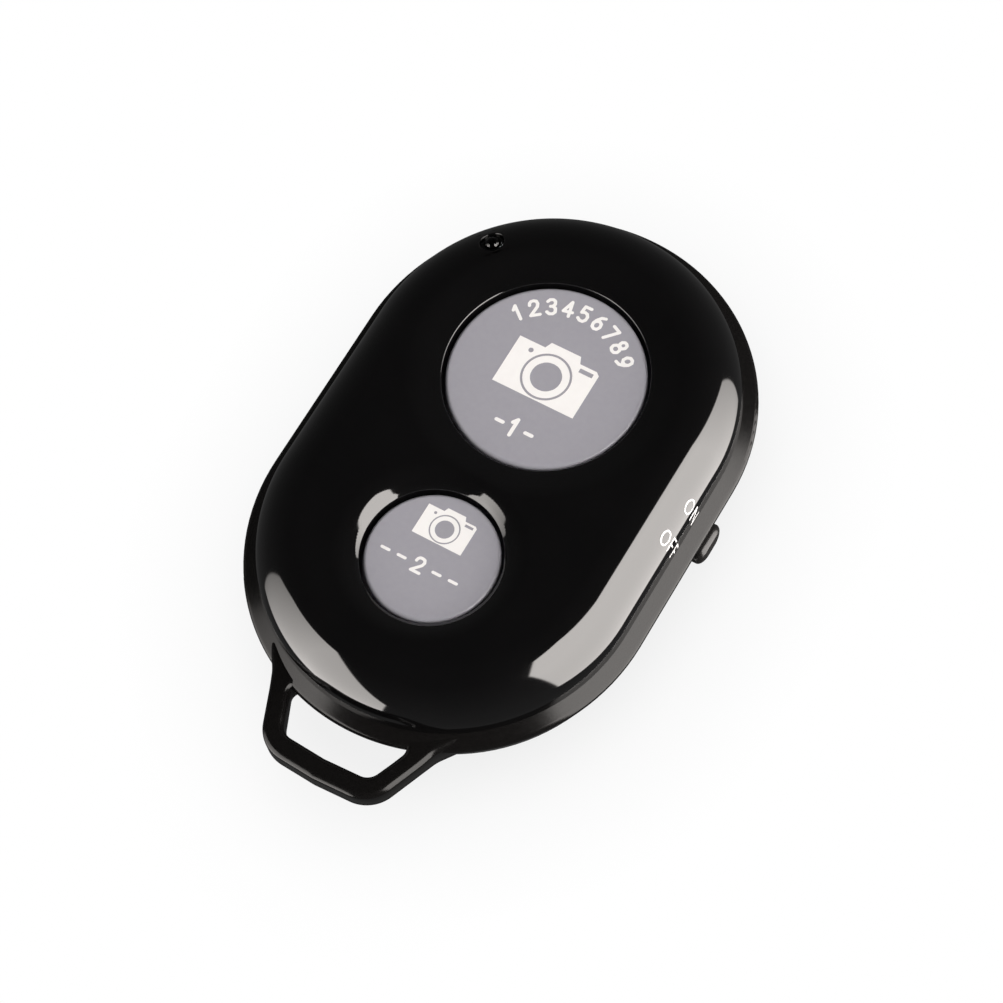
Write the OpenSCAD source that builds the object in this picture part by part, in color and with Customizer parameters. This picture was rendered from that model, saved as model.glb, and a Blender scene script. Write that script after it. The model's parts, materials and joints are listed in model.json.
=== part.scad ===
// Camera shutter remote: two moulded shells in a stadium outline, two round buttons in dished
// wells, a slide switch in the side wall, a status light, a lanyard loop and a coin-cell board.
// +Z up from the flat back, +Y towards the light, +X towards the slide switch. Millimetres.

/* [Body] */
// Width of the body across its lip
body_w = 32; // [31:0.5:36]
// Length of the body without the lanyard loop
body_l = 46.2; // [44:0.2:54]
// Thickness from the flat back to the crown
body_h = 10.5; // [10.4:0.1:10.8]
// Height of the crown above the parting line between the shells
crown_rise = 4.3; // [4.1:0.1:4.5]
// How far the back shell's lip stands out past the top shell
lip_w = 1.15; // [0.8:0.05:1.3]
// Height of the lip's sloping face
lip_rise = 0.7; // [0.4:0.1:0.9]
// Wall thickness of the shells
wall = 1.2; // [1:0.1:1.4]
// Radius of the top shell's shoulder
shoulder_r = 3.9; // [3.4:0.1:4.2]
// Radius of the edge around the flat back
base_r = 2; // [1.5:0.1:2.4]
// How far the side wall leans in from the lip to the back
side_lean = 1.2; // [0.8:0.1:1.4]

/* [Buttons] */
// Radius of the large button's grey disc
large_r = 7.67; // [7:0.1:8]
// Radius of the small button's grey disc
small_r = 5.14; // [4.8:0.1:5.6]
// Distance from the large button's centre to the middle of the body
large_y = 7.2; // [7:0.1:7.4]
// Distance from the small button's centre to the middle of the body
small_y = 9.62; // [9:0.1:10]
// How far the discs' faces lie below the crown
disc_drop = 1.1; // [0.9:0.1:1.2]
// Depth of the well's floor below the discs' faces
disc_stand = 0.3; // [0.2:0.05:0.4]
// Width of the small well around its disc, from the disc to the rim
well_w = 1.9; // [1.6:0.1:2]
// Width of the large well around its disc, from the disc to the rim
dish_w = 2.8; // [2.7:0.05:2.9]
// Depth of the large well at its hole
dish_h = 0.9; // [0.8:0.05:1]
// Gap between a disc and its hole
disc_gap = 0.25; // [0.15:0.05:0.35]
// Travel of a button
press = 0.3; // [0.2:0.05:0.35]

/* [Slide switch] */
// Length of the knob along the body
knob_l = 3.4; // [2.8:0.1:3.6]
// Height of the knob
knob_h = 1.9; // [1.6:0.1:2]
// How far the knob stands out past the lip
knob_out = 0.5; // [0.3:0.1:0.9]
// How far the knob's centre lies below the board
knob_drop = 0.7; // [0.6:0.05:0.8]
// Place of the knob along the body when it is on
knob_on_y = 2.85; // [2.5:0.05:3.3]
// Travel from on to off
knob_travel = 1.5; // [1.2:0.1:2]

/* [Status light] */
// Radius of the light pipe
light_r = 0.9; // [0.7:0.05:1]
// How far out on the shoulder the light lies
light_out = 1.25; // [1:0.05:1.45]
// Direction of the light, from the switch side towards the light end
light_turn = 139.5; // [125:0.5:145]

/* [Lanyard loop] */
// Distance that the loop stands out past the body
loop_out = 4.2; // [4:0.1:6]
// Thickness of the loop
loop_t = 2.2; // [1.8:0.1:2.4]
// How far the loop's upper face lies below the parting line
loop_drop = 0.6; // [0.5:0.05:0.7]
// Half width of the loop's free end
loop_end_half = 4.8; // [4.4:0.1:5.4]
// Half width of the loop at its root
loop_root_half = 7.05; // [6.6:0.1:7.4]
// Width of the bar across the loop's free end
loop_bar = 1.7; // [1.4:0.1:2]

/* [Battery and door] */
// Radius of the coin cell
cell_r = 10; // [9.9:0.05:10]
// Room between the coin cell and the board
cell_room = 0.55; // [0.5:0.05:0.6]
// Place of the cell's centre along the body
cell_y = 2; // [1.8:0.1:2.2]
// Thickness of the back shell's floor
floor_t = 1.6; // [1.5:0.1:1.7]
// Thickness of the battery door
door_t = 0.9; // [0.8:0.05:0.95]
// Rim of the door outside the cell
door_rim = 1.4; // [1.3:0.1:1.5]
// Length of the door below the cell's centre
door_foot = 13; // [12.5:0.1:13.5]

/* [Board] */
// Thickness of the circuit board
board_t = 0.8; // [0.7:0.1:0.9]
// Gap between the board's edge and the shell's tongue
board_gap = 0.4; // [0.3:0.1:0.6]

/* [Hidden] */
$fn = 96;
// Overrun of every cut past the face it leaves
over = 1;
// Gap between pieces that are seated on each other
seat_gap = 0.05;
// Gap around a piece that slides or turns
run_gap = 0.1;
// Gap around the battery door
door_gap = 0.12;

// Places shared by the pieces
body_r = body_w / 2;
end_y = (body_l - body_w) / 2;
seam_h = body_h - crown_rise;
disc_h = body_h - disc_drop;
lip_foot_z = seam_h - lip_rise;
lip_edge_r = 0.5;
// How far the lip's sharp corner would stand out past its round
lip_sharp = 0.1;
top_r = body_r - lip_w;
shoulder_x = top_r - shoulder_r;
shoulder_z = body_h - shoulder_r;
pocket_r = top_r - wall + seat_gap;
tongue_t = 0.8;
tongue_drop = 0.6;
tongue_r = pocket_r - run_gap;
well_z = disc_h - disc_stand;
floor_under = well_z - wall + run_gap;
buttons = [[large_y, large_r], [-small_y, small_r]];

// Catches that snap the shells together
catch_l = 2.4;
catch_reach = 0.35;
catch_h = 0.4;
catch_y_share = 0.8;
catch_z = seam_h - tongue_drop + run_gap;

// Cap of a button
cap_edge_r = 0.3;
cap_top_t = 1.2;
skirt_t = 1;
flange_w = 0.95;
flange_t = 0.6;
flange_top = floor_under - run_gap;
guide_gap = 0.2;
guide_drop = 0.7;
guide_wall = well_w + wall - flange_w - guide_gap;
roof_z = body_h - wall + seat_gap * 8;
boss_r = 1.4;
boss_h = 0.75;
plunger_top = disc_h - cap_top_t - boss_h;

// Tact switch under each button
tact_w = 4.5;
tact_base_h = 1.2;
tact_cover_t = 0.2;
tact_leg_w = 0.7;
tact_leg_l = 0.5;
tact_leg_t = 0.15;
tact_leg_y_share = 0.6;
plunger_r = 1;
plunger_flange_r = 1.4;
plunger_flange_t = 0.2;
plunger_l = 0.95;
plunger_seat = plunger_top - plunger_l;
dome_room = 0.6;
plunger_rise = press + dome_room;
dome_r = 1.5;
dome_t = 0.08;
dome_h = 0.5;

// Board, hung from the switches under the caps
board_r = tongue_r - tongue_t - board_gap;
board_top = plunger_seat - plunger_rise;
board_z = board_top - board_t;

// Slide switch under the board's edge
knob_z = board_z - knob_drop;
knob_end_r = 0.35;
knob_root = 0.35;
knob_flange_t = 0.35;
knob_flange_w = 0.35;
slot_h = knob_h + 3 * run_gap;
// Length of the side slot that the knob never reaches
slot_spare = 0.1;
slide_d = 2;
slide_l = 6.6;
slide_x = pocket_r - knob_root - knob_flange_t - slide_d + seat_gap;
slide_h = 1.5;
slide_z = board_z - slide_h;
stem_w = 1.3;
stem_h = 0.8;
stem_l = 2.1;
slide_can_t = 0.15;

// Light pipe and its lamp
light_gap = 0.05;
light_collar_t = 0.4;
light_collar_foot = 1.5;
light_collar_h = 0.7;
light_dome = 0;
light_foot = shoulder_z - run_gap;
light_reach = shoulder_x + light_out;
light_tilt = acos((light_reach - shoulder_x) / shoulder_r);
lamp_l = 1.6;
lamp_w = 0.8;
lamp_h = 0.5;
lamp_reach = shoulder_x;

// Lanyard loop
loop_top = seam_h - loop_drop;
loop_corner_r = 2.8;
slot_corner_r = 1.1;
loop_root_fillet = 3;
loop_root_y_share = 0.915;
loop_anchor_share = 0.66;
slot_root_half = 5.15;
slot_end_half = 3.75;

// Battery compartment
cell_gap = 0.2;
ring_t = 0.8;
cell_z = door_t + 3 * seat_gap;
cell_t = board_z - cell_room - cell_z;
door_r = cell_r + door_rim;
door_corner_r = 2;
door_ledge_z = door_t + seat_gap;
hatch_r = cell_r + 3 * cell_gap;
door_foot_y = cell_y - door_foot;
hook_w = 3;
hook_x_share = 0.6;
hook_t = 0.7;
hook_reach = 1.2;
hook_back = 0.4;
hook_l = 1;
hook_slot_l = 2.6;
nail_r = 3;
nail_depth = 0.5;
nail_w = 5;
rib_t = 0.7;
rib_h = 0.12;

// Coin cell
can_t = 0.3;
cell_cap_r_share = 0.86;
cell_cap_edge = 0.25;
gasket_t = 0.35;
cell_edge_r = 0.4;

// Contacts
strip_t = 0.15;
clip_w = 3.4;
clip_foot_l = 2.2;
clip_drop = 2.6;
window_gap = 0.5;
contact_w = 3;
contact_pad_half = 2;
contact_arm_l = 3.6;
contact_tip_l = 0.8;

// Screws and posts
screw_light_in = 2.3;
screw_loop_in = 2.5;
screw_y = [end_y + board_r - screw_light_in, -end_y - board_r + screw_loop_in];
screw_r = 0.6;
screw_head_r = 1.25;
screw_head_h = 0.7;
screw_tip_gap = 0.6;
screw_l = board_top - floor_t - screw_tip_gap;
screw_slot_w = 0.35;
screw_slot_h = 0.3;
post_r = 1.7;
rest_r = 0.8;
rest_turn = 20;

// Board parts
chip_at = [-6.9, -3.3];
chip_w = 4;
chip_h = 0.85;
chip_pad_w = 0.25;
chip_pad_l = 0.4;
chip_pad_t = 0.1;
chip_pads = 7;
memory_at = [7.2, -3.4];
memory_size = [3.9, 4.9, 1.3];
memory_lead_w = 0.4;
memory_lead_l = 1;
memory_lead_t = 0.2;
memory_leads = 4;
memory_pitch = 1.27;
crystal_at = [-7.4, -8.2];
crystal_size = [2.5, 3.2, 0.7];
crystal_lid_in = 0.25;
crystal_lid_t = 0.1;
passive_size = [1, 0.5, 0.4];
passive_end = 0.25;
passive_places = [[-9.9, -4.6], [-9.9, -6], [-4.1, -1.2], [4, -3], [4, -4.6], [-5.2, -6.4], [9.4, -7.4],
    [6.6, -7.6]];
passive_turns = [90, 90, 0, 90, 90, 0, 90, 0];
aerial_at = [-6.8, -16.9];
aerial_w = 0.5;
aerial_t = 0.05;
aerial_step = 1;
aerial_h = 3;
aerial_turns = 4;

// Direction from b to a, and the angle at b between a and c
function way(a, b) = (a - b) / norm(a - b);
function corner(a, b, c) = acos(way(a, b) * way(c, b));
// Middle of the round of radius r at corner b
function round_mid(a, b, c, r) = b + way(way(a, b) + way(c, b), [0, 0]) * r / sin(corner(a, b, c) / 2);
// Positive where the outline turns left at b
function turn(a, b, c) = cross(b - a, c - b);

module round_at(a, b, c, r) translate(round_mid(a, b, c, r)) circle(r, $fn = 48);

// Outline with a round of its own radius at each corner, drawn anticlockwise
module soft_polygon(points, radii) {
    n = len(points);
    before = [for (i = [0 : n - 1]) points[(i + n - 1) % n]];
    after = [for (i = [0 : n - 1]) points[(i + 1) % n]];
    ends = [for (i = [0 : n - 1]) each radii[i] == 0 ? [points[i]] : [
        points[i] + way(before[i], points[i]) * radii[i] / tan(corner(before[i], points[i], after[i]) / 2),
        points[i] + way(after[i], points[i]) * radii[i] / tan(corner(before[i], points[i], after[i]) / 2)]];
    difference() {
        union() {
            polygon(ends);
            for (i = [0 : n - 1])
                if (radii[i] > 0 && turn(before[i], points[i], after[i]) > 0)
                    round_at(before[i], points[i], after[i], radii[i]);
        }
        for (i = [0 : n - 1])
            if (radii[i] > 0 && turn(before[i], points[i], after[i]) < 0)
                round_at(before[i], points[i], after[i], radii[i]);
    }
}

// Stadium solid from a half section: x is the distance from the spine, y the height
module swept() {
    for (side = [0, 1])
        mirror([0, side, 0]) translate([0, end_y, 0]) rotate_extrude(angle = 180) children();
    rotate([90, 0, 0]) linear_extrude(height = 2 * end_y, center = true) {
        children();
        mirror([1, 0]) children();
    }
}

module stadium(r) {
    for (side = [-1, 1]) translate([0, side * end_y]) circle(r);
    square([2 * r, 2 * end_y], center = true);
}

module slab(r, z, h) {
    translate([0, 0, z]) linear_extrude(height = h) stadium(r);
}

module capsule(l, h) {
    for (side = [-1, 1]) translate([side * (l - h) / 2, 0]) circle(h / 2);
    square([l - h, h], center = true);
}

// Solid along +X from x0, with a capsule outline in the side wall
module side_capsule(x0, depth, y, l, h) {
    translate([x0, y, knob_z]) rotate([90, 0, 90]) linear_extrude(height = depth) capsule(l, h);
}

// Section of the top shell's outside, or of a surface that lies inset below it
module crown_section(inset, low) {
    intersection() {
        soft_polygon([[0, 0], [top_r - inset, 0], [top_r - inset, body_h - inset], [0, body_h - inset]],
            [0, 0, shoulder_r - inset, 0]);
        translate([0, low]) square([body_w, body_h]);
    }
}

// Place of the sharp corner under the edge round, as a share of its radius
base_share = 0.3;
module tray_section() {
    foot_r = body_r - side_lean - base_r * base_share;
    soft_polygon([[0, 0], [foot_r, 0], [body_r + lip_sharp, lip_foot_z], [top_r, seam_h], [0, seam_h]],
        [0, base_r, lip_edge_r, 0, 0]);
}

// Each of the four catches, at its place along the shells' straight sides
module at_catches() {
    for (side = [0, 1], along = [-1, 1])
        mirror([side, 0, 0]) translate([0, along * end_y * catch_y_share, 0]) children();
}

module well_cut(y, r, w, h) {
    rim = r + w;
    floor_r = r + disc_gap + 2 * run_gap;
    translate([0, y, body_h]) rotate_extrude()
        soft_polygon([[0, -h], [floor_r, -h], [rim, 0], [rim, over], [0, over]], [0, disc_stand, 0, 0, 0]);
}

// Places its children on the light's axis, which stands square to the shoulder
module on_light_axis() {
    translate([0, end_y, 0]) rotate([0, 0, light_turn]) translate([shoulder_x, 0, shoulder_z])
        rotate([0, 90 - light_tilt, 0]) children();
}

module top_shell() color([0.02, 0.02, 0.02]) {
    hollow_h = floor_under - guide_drop;
    difference() {
        union() {
            swept() difference() {
                crown_section(0, seam_h);
                crown_section(wall, 0);
            }
            swept() polygon([[tongue_r - tongue_t, seam_h - tongue_drop], [tongue_r, seam_h - tongue_drop],
                [tongue_r, seam_h], [tongue_r + tongue_t, seam_h],
                [tongue_r + tongue_t, seam_h + tongue_drop], [tongue_r - tongue_t, seam_h + tongue_drop]]);
            difference() {
                union() for (b = buttons) translate([0, b[0], hollow_h])
                    cylinder(h = roof_z - hollow_h, r = b[1] + well_w + wall);
                for (b = buttons) translate([0, b[0], hollow_h - over])
                    cylinder(h = floor_under - hollow_h + over, r = b[1] + flange_w + guide_gap);
                on_light_axis() cylinder(h = light_collar_foot + light_collar_h + seat_gap,
                    r = light_r + light_collar_t + light_gap);
            }
            for (b = buttons, side = [0, 1]) mirror([side, 0, 0]) translate([0, b[0], board_top + seat_gap])
                rotate([0, 0, -rest_turn]) translate([b[1] + flange_w + guide_gap + guide_wall / 2, 0, 0])
                    cylinder(h = floor_under - board_top - seat_gap, r = rest_r);
            at_catches() translate([tongue_r, catch_l / 2, catch_z]) rotate([90, 0, 0])
                linear_extrude(height = catch_l)
                    polygon([[-tongue_t, 0], [0, 0], [catch_reach, catch_h], [-tongue_t, catch_h]]);
        }
        well_cut(large_y, large_r, dish_w, dish_h);
        well_cut(-small_y, small_r, well_w, body_h - well_z);
        for (b = buttons) translate([0, b[0], 0]) cylinder(h = body_h + over, r = b[1] + disc_gap);
        on_light_axis() cylinder(h = shoulder_r + over, r = light_r + light_gap);
    }
}

module loop_outline() {
    root_y = end_y + body_r * loop_root_y_share;
    anchor = [body_r * loop_anchor_share, end_y + (body_r - wall) * loop_anchor_share];
    end = end_y + body_r + loop_out;
    difference() {
        soft_polygon([[-loop_end_half, -end], [loop_end_half, -end], [loop_root_half, -root_y],
            [anchor[0], -anchor[1]], [-anchor[0], -anchor[1]], [-loop_root_half, -root_y]],
            [loop_corner_r, loop_corner_r, loop_root_fillet, 0, 0, loop_root_fillet]);
        translate([0, -end_y]) circle(top_r + 3 * seat_gap);
    }
}

module loop_slot() {
    far = end_y + body_r + loop_out - loop_bar;
    near = end_y + body_r * loop_root_y_share;
    soft_polygon([[-slot_end_half, -far], [slot_end_half, -far], [slot_root_half, -near],
        [-slot_root_half, -near]], [slot_corner_r, slot_corner_r, 0, 0]);
}

module door_outline(inset) {
    r = door_r - inset;
    foot = door_foot - inset;
    translate([0, cell_y]) circle(r);
    translate([0, cell_y]) soft_polygon([[-r, -foot], [r, -foot], [r, 0], [-r, 0]],
        [door_corner_r - inset, door_corner_r - inset, 0, 0]);
}

module at_hooks() {
    for (side = [-1, 1]) translate([side * door_r * hook_x_share, door_foot_y, 0]) children();
}

module back_shell() color([0.04, 0.04, 0.04]) difference() {
    rest_h = board_z - floor_t + seat_gap;
    slot_l = knob_l + knob_travel + 2 * run_gap + slot_spare;
    union() {
        difference() {
            union() {
                swept() tray_section();
                translate([0, 0, loop_top - loop_t]) linear_extrude(height = loop_t) difference() {
                    loop_outline();
                    loop_slot();
                }
            }
            slab(pocket_r, floor_t, seam_h);
        }
        translate([0, cell_y, floor_t - seat_gap]) difference() {
            cylinder(h = rest_h, r = cell_r + cell_gap + ring_t);
            translate([0, 0, -over]) cylinder(h = board_z + over, r = cell_r + cell_gap);
        }
        for (y = screw_y) translate([0, y, floor_t - seat_gap]) cylinder(h = rest_h, r = post_r);
    }
    translate([0, 0, -over]) linear_extrude(height = door_ledge_z + over) door_outline(0);
    translate([0, cell_y, -over]) cylinder(h = floor_t + 2 * over, r = cell_r + cell_gap);
    translate([0, cell_y, -over]) cylinder(h = floor_t + over, r = hatch_r);
    at_hooks() translate([-hook_w / 2 - run_gap, run_gap, 0])
        cube([hook_w + 2 * run_gap, hook_slot_l, floor_t + over]);
    for (y = screw_y) translate([0, y, floor_t]) cylinder(h = board_z, r = screw_r + seat_gap);
    translate([-cell_r - cell_gap - ring_t - over, cell_y - clip_w / 2 - window_gap, floor_t])
        cube([2 * over + ring_t + cell_gap, clip_w + 2 * window_gap, board_z]);
    side_capsule(pocket_r - over, body_r, knob_on_y - knob_travel / 2, slot_l, slot_h);
    at_catches() translate([pocket_r - over, -catch_l / 2 - run_gap, catch_z - run_gap])
        cube([over + catch_reach, catch_l + 2 * run_gap, catch_h + 2 * run_gap]);
}

module battery_door() color([0.04, 0.04, 0.04]) {
    difference() {
        union() {
            linear_extrude(height = door_t) door_outline(door_gap);
            for (x = [-1, 0, 1]) translate([x * cell_r / 2 - rib_t / 2, cell_y - cell_r / 2, door_t])
                cube([rib_t, cell_r, rib_h]);
        }
        translate([0, cell_y + door_r - door_gap, nail_depth - nail_r]) rotate([0, 90, 0])
            cylinder(h = nail_w, r = nail_r, center = true);
    }
    at_hooks() translate([-hook_w / 2, 0, 0]) {
        translate([0, hook_back, door_t]) cube([hook_w, hook_l, floor_t + run_gap + hook_t - door_t]);
        translate([0, -hook_reach, floor_t + run_gap])
            cube([hook_w, hook_reach + hook_back + hook_l, hook_t]);
    }
}

// Cap of a button: a disc on a skirt with a flange under the shell and a boss over the switch
module button_cap(y, r) color([0.42, 0.42, 0.45]) translate([0, y, 0]) rotate_extrude() {
    under = disc_h - cap_top_t;
    flange_foot = flange_top - flange_t;
    soft_polygon([[0, plunger_top], [boss_r, plunger_top], [boss_r, under], [r - skirt_t, under],
        [r - skirt_t, flange_foot], [r + flange_w, flange_foot], [r + flange_w, flange_top],
        [r, flange_top], [r, disc_h], [0, disc_h]], [0, 0, 0, 0, 0, 0, 0, 0, cap_edge_r, 0]);
}

module large_button_cap() button_cap(large_y, large_r);
module small_button_cap() button_cap(-small_y, small_r);

module light_pipe() color([0.8, 0.85, 0.9, 0.5]) intersection() {
    on_light_axis() {
        intersection() {
            cylinder(h = shoulder_r, r = light_r);
            translate([0, 0, shoulder_r + light_dome - 2 * light_r]) sphere(2 * light_r);
        }
        translate([0, 0, light_collar_foot]) cylinder(h = light_collar_h, r = light_r + light_collar_t);
    }
    translate([-body_w, -body_l, light_foot]) cube([2 * body_w, 2 * body_l, body_h]);
}

module power_knob() color([0.02, 0.02, 0.02]) difference() {
    root_x = pocket_r - knob_root;
    step_x = body_r + knob_out - knob_end_r;
    flange_l = knob_l + 2 * knob_flange_w;
    flange_h = knob_h + 2 * knob_flange_w;
    union() {
        side_capsule(root_x, step_x - root_x, knob_on_y, knob_l, knob_h);
        side_capsule(step_x, knob_end_r, knob_on_y, knob_l - knob_end_r, knob_h - knob_end_r);
        translate([pocket_r - seat_gap - knob_flange_t, knob_on_y - flange_l / 2, knob_z - flange_h / 2])
            cube([knob_flange_t, flange_l, flange_h]);
    }
    translate([slide_x + slide_d, knob_on_y - stem_w / 2 - seat_gap, knob_z - stem_h / 2 - seat_gap])
        cube([stem_l + seat_gap, stem_w + 2 * seat_gap, stem_h + 2 * seat_gap]);
}

module circuit_board() color([0.05, 0.3, 0.15]) difference() {
    slab(board_r, board_z, board_t);
    for (y = screw_y) translate([0, y, board_z - over])
        cylinder(h = board_t + 2 * over, r = screw_r + run_gap);
}

// Tact switch: moulded base with four legs, sheet cover, sliding plunger and snap dome
module tact_base(y) color([0.15, 0.15, 0.15]) translate([0, y, board_top]) {
    difference() {
        translate([-tact_w / 2, -tact_w / 2, 0]) cube([tact_w, tact_w, tact_base_h]);
        translate([0, 0, plunger_rise - dome_h]) cylinder(h = tact_base_h, r = dome_r + run_gap);
    }
    leg_y = tact_w / 2 * tact_leg_y_share;
    for (side = [0, 1], along = [-1, 1])
        mirror([side, 0, 0]) translate([tact_w / 2, along * leg_y - tact_leg_w / 2, 0])
            cube([tact_leg_l, tact_leg_w, tact_leg_t]);
}

module tact_cover(y) color([0.8, 0.8, 0.8]) translate([0, y, board_top + tact_base_h])
    linear_extrude(height = tact_cover_t) difference() {
        square(tact_w, center = true);
        circle(plunger_r + run_gap);
    }

module tact_plunger(y) color([0.1, 0.1, 0.1]) translate([0, y, plunger_seat]) {
    cylinder(h = plunger_flange_t, r = plunger_flange_r);
    cylinder(h = plunger_top - plunger_seat, r = plunger_r);
}

module tact_dome(y) {
    bend_r = (dome_r * dome_r + dome_h * dome_h) / (2 * dome_h);
    color([0.85, 0.85, 0.8]) translate([0, y, plunger_seat - dome_h]) rotate_extrude() intersection() {
        translate([0, dome_h - bend_r]) difference() {
            circle(bend_r);
            circle(bend_r - dome_t);
        }
        square([dome_r, dome_h]);
    }
}

module large_switch_base() tact_base(large_y);
module large_switch_cover() tact_cover(large_y);
module large_switch_plunger() tact_plunger(large_y);
module large_switch_dome() tact_dome(large_y);
module small_switch_base() tact_base(-small_y);
module small_switch_cover() tact_cover(-small_y);
module small_switch_plunger() tact_plunger(-small_y);
module small_switch_dome() tact_dome(-small_y);

// Slide switch: a folded can open towards the wall, a moulded base in it and a sliding stem
slide_mid = knob_on_y - knob_travel / 2;
module stem_window(x, depth) {
    l = stem_w + knob_travel + 2 * run_gap;
    h = stem_h + 2 * run_gap;
    translate([x, slide_mid - l / 2, knob_z - h / 2]) cube([depth, l, h]);
}

module slide_switch_can() color([0.75, 0.75, 0.75]) difference() {
    translate([slide_x, slide_mid - slide_l / 2, slide_z]) cube([slide_d, slide_l, slide_h]);
    translate([slide_x + slide_can_t, slide_mid - slide_l / 2 - over, slide_z + slide_can_t])
        cube([slide_d - 2 * slide_can_t, slide_l + 2 * over, slide_h]);
    stem_window(slide_x, slide_d + over);
}

module slide_switch_base() color([0.2, 0.15, 0.1]) difference() {
    translate([slide_x + slide_can_t + seat_gap, slide_mid - slide_l / 2, slide_z + slide_can_t + seat_gap])
        cube([slide_d - 2 * (slide_can_t + seat_gap), slide_l, slide_h - slide_can_t - seat_gap]);
    stem_window(slide_x - over, slide_d + 2 * over);
}

module slide_switch_stem() color([0.1, 0.1, 0.1])
    translate([slide_x + slide_can_t + run_gap, knob_on_y - stem_w / 2, knob_z - stem_h / 2])
        cube([slide_d - slide_can_t - run_gap + stem_l, stem_w, stem_h]);

module status_lamp() color([0.95, 0.95, 0.9])
    translate([0, end_y, board_top]) rotate([0, 0, light_turn]) translate([lamp_reach, 0, 0]) {
        linear_extrude(height = lamp_h / 2) square([lamp_w, lamp_l], center = true);
        linear_extrude(height = lamp_h) square(lamp_w, center = true);
    }

module radio_chip() color([0.08, 0.08, 0.08]) translate([chip_at[0], chip_at[1], board_top]) {
    translate([-chip_w / 2, -chip_w / 2, 0]) cube([chip_w, chip_w, chip_h]);
    pitch = chip_w / (chip_pads + 1);
    for (quarter = [0 : 3], i = [0 : chip_pads - 1])
        rotate([0, 0, 90 * quarter])
            translate([chip_w / 2, (i - (chip_pads - 1) / 2) * pitch - chip_pad_w / 2, 0])
                cube([chip_pad_l / 2, chip_pad_w, chip_pad_t]);
}

module memory_chip() color([0.08, 0.08, 0.08]) translate([memory_at[0], memory_at[1], board_top]) {
    translate([-memory_size[0] / 2, -memory_size[1] / 2, memory_lead_t / 2])
        cube([memory_size[0], memory_size[1], memory_size[2] - memory_lead_t / 2]);
    first = -(memory_leads - 1) / 2 * memory_pitch - memory_lead_w / 2;
    for (side = [0, 1], i = [0 : memory_leads - 1])
        mirror([side, 0, 0])
            translate([memory_size[0] / 2, first + i * memory_pitch, 0]) {
                cube([memory_lead_l, memory_lead_w, memory_lead_t]);
                cube([memory_lead_t, memory_lead_w, memory_size[2] / 2]);
            }
}

module crystal() color([0.85, 0.8, 0.6]) translate([crystal_at[0], crystal_at[1], board_top]) {
    lid = 2 * crystal_lid_in;
    linear_extrude(height = crystal_size[2] - crystal_lid_t)
        square([crystal_size[0], crystal_size[1]], center = true);
    linear_extrude(height = crystal_size[2])
        square([crystal_size[0] - lid, crystal_size[1] - lid], center = true);
}

// Height of a chip part's middle as a share of its end caps
waist_share = 0.9;
module chip_part() {
    body_l = passive_size[0] - passive_end;
    linear_extrude(height = passive_size[2] * waist_share) square([body_l, passive_size[1]], center = true);
    for (side = [-1, 1]) translate([side * body_l / 2, 0, 0])
        linear_extrude(height = passive_size[2]) square([passive_end, passive_size[1]], center = true);
}

module chip_parts() color([0.6, 0.45, 0.3])
    for (i = [0 : len(passive_places) - 1])
        translate([passive_places[i][0], passive_places[i][1], board_top])
            rotate([0, 0, passive_turns[i]]) chip_part();

module aerial_trace() color([0.8, 0.6, 0.2]) translate([aerial_at[0], aerial_at[1], board_top])
    linear_extrude(height = aerial_t) {
        for (i = [0 : aerial_turns]) translate([i * aerial_step, 0]) square([aerial_w, aerial_h]);
        for (i = [0 : aerial_turns - 1])
            translate([i * aerial_step, i % 2 == 0 ? aerial_h - aerial_w : 0])
                square([aerial_step + aerial_w, aerial_w]);
    }

// Side contact: a foot soldered under the board and a leaf against the cell's rim
module cell_clip() color([0.8, 0.75, 0.6]) translate([0, cell_y + clip_w / 2, 0]) rotate([90, 0, 0])
    linear_extrude(height = clip_w) translate([-cell_r - seat_gap, board_z])
        polygon([[0, 0], [-clip_foot_l, 0], [-clip_foot_l, -strip_t], [-strip_t, -strip_t],
            [-strip_t, -clip_drop], [0, -clip_drop]]);

// Spring contact: a pad soldered under the board and two arms down onto the cell
module cell_contact() color([0.8, 0.75, 0.6]) translate([0, cell_y + contact_w / 2, 0]) rotate([90, 0, 0])
    linear_extrude(height = contact_w) {
        drop = board_z - strip_t - (cell_z + cell_t) - seat_gap;
        tip = contact_pad_half + contact_arm_l;
        half = [[contact_pad_half, -strip_t], [tip, -drop - strip_t], [tip + contact_tip_l, -drop],
            [tip + contact_tip_l, strip_t - drop], [tip, -drop], [contact_pad_half, 0]];
        last = len(half) - 1;
        other_half = [for (i = [0 : last]) [-half[last - i][0], half[last - i][1]]];
        translate([0, board_z]) polygon([each half, each other_half]);
    }

module cell_can() color([0.85, 0.85, 0.85]) translate([0, cell_y, cell_z]) difference() {
    rim_z = cell_t - cell_cap_edge;
    rotate_extrude()
        soft_polygon([[0, 0], [cell_r, 0], [cell_r, rim_z], [0, rim_z]], [0, cell_edge_r, 0, 0]);
    translate([0, 0, can_t]) cylinder(h = cell_t, r = cell_r - can_t);
}

module cell_gasket() color([0.1, 0.1, 0.1]) translate([0, cell_y, cell_z + can_t]) difference() {
    cylinder(h = cell_t - cell_cap_edge - can_t, r = cell_r - can_t);
    translate([0, 0, -over]) cylinder(h = cell_t + 2 * over, r = cell_r - can_t - gasket_t);
}

module cell_cap() color([0.8, 0.8, 0.8]) translate([0, cell_y, cell_z + can_t]) {
    cylinder(h = cell_t - can_t - cell_cap_edge, r = cell_r - can_t - gasket_t);
    cylinder(h = cell_t - can_t, r = cell_r * cell_cap_r_share);
}

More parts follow.
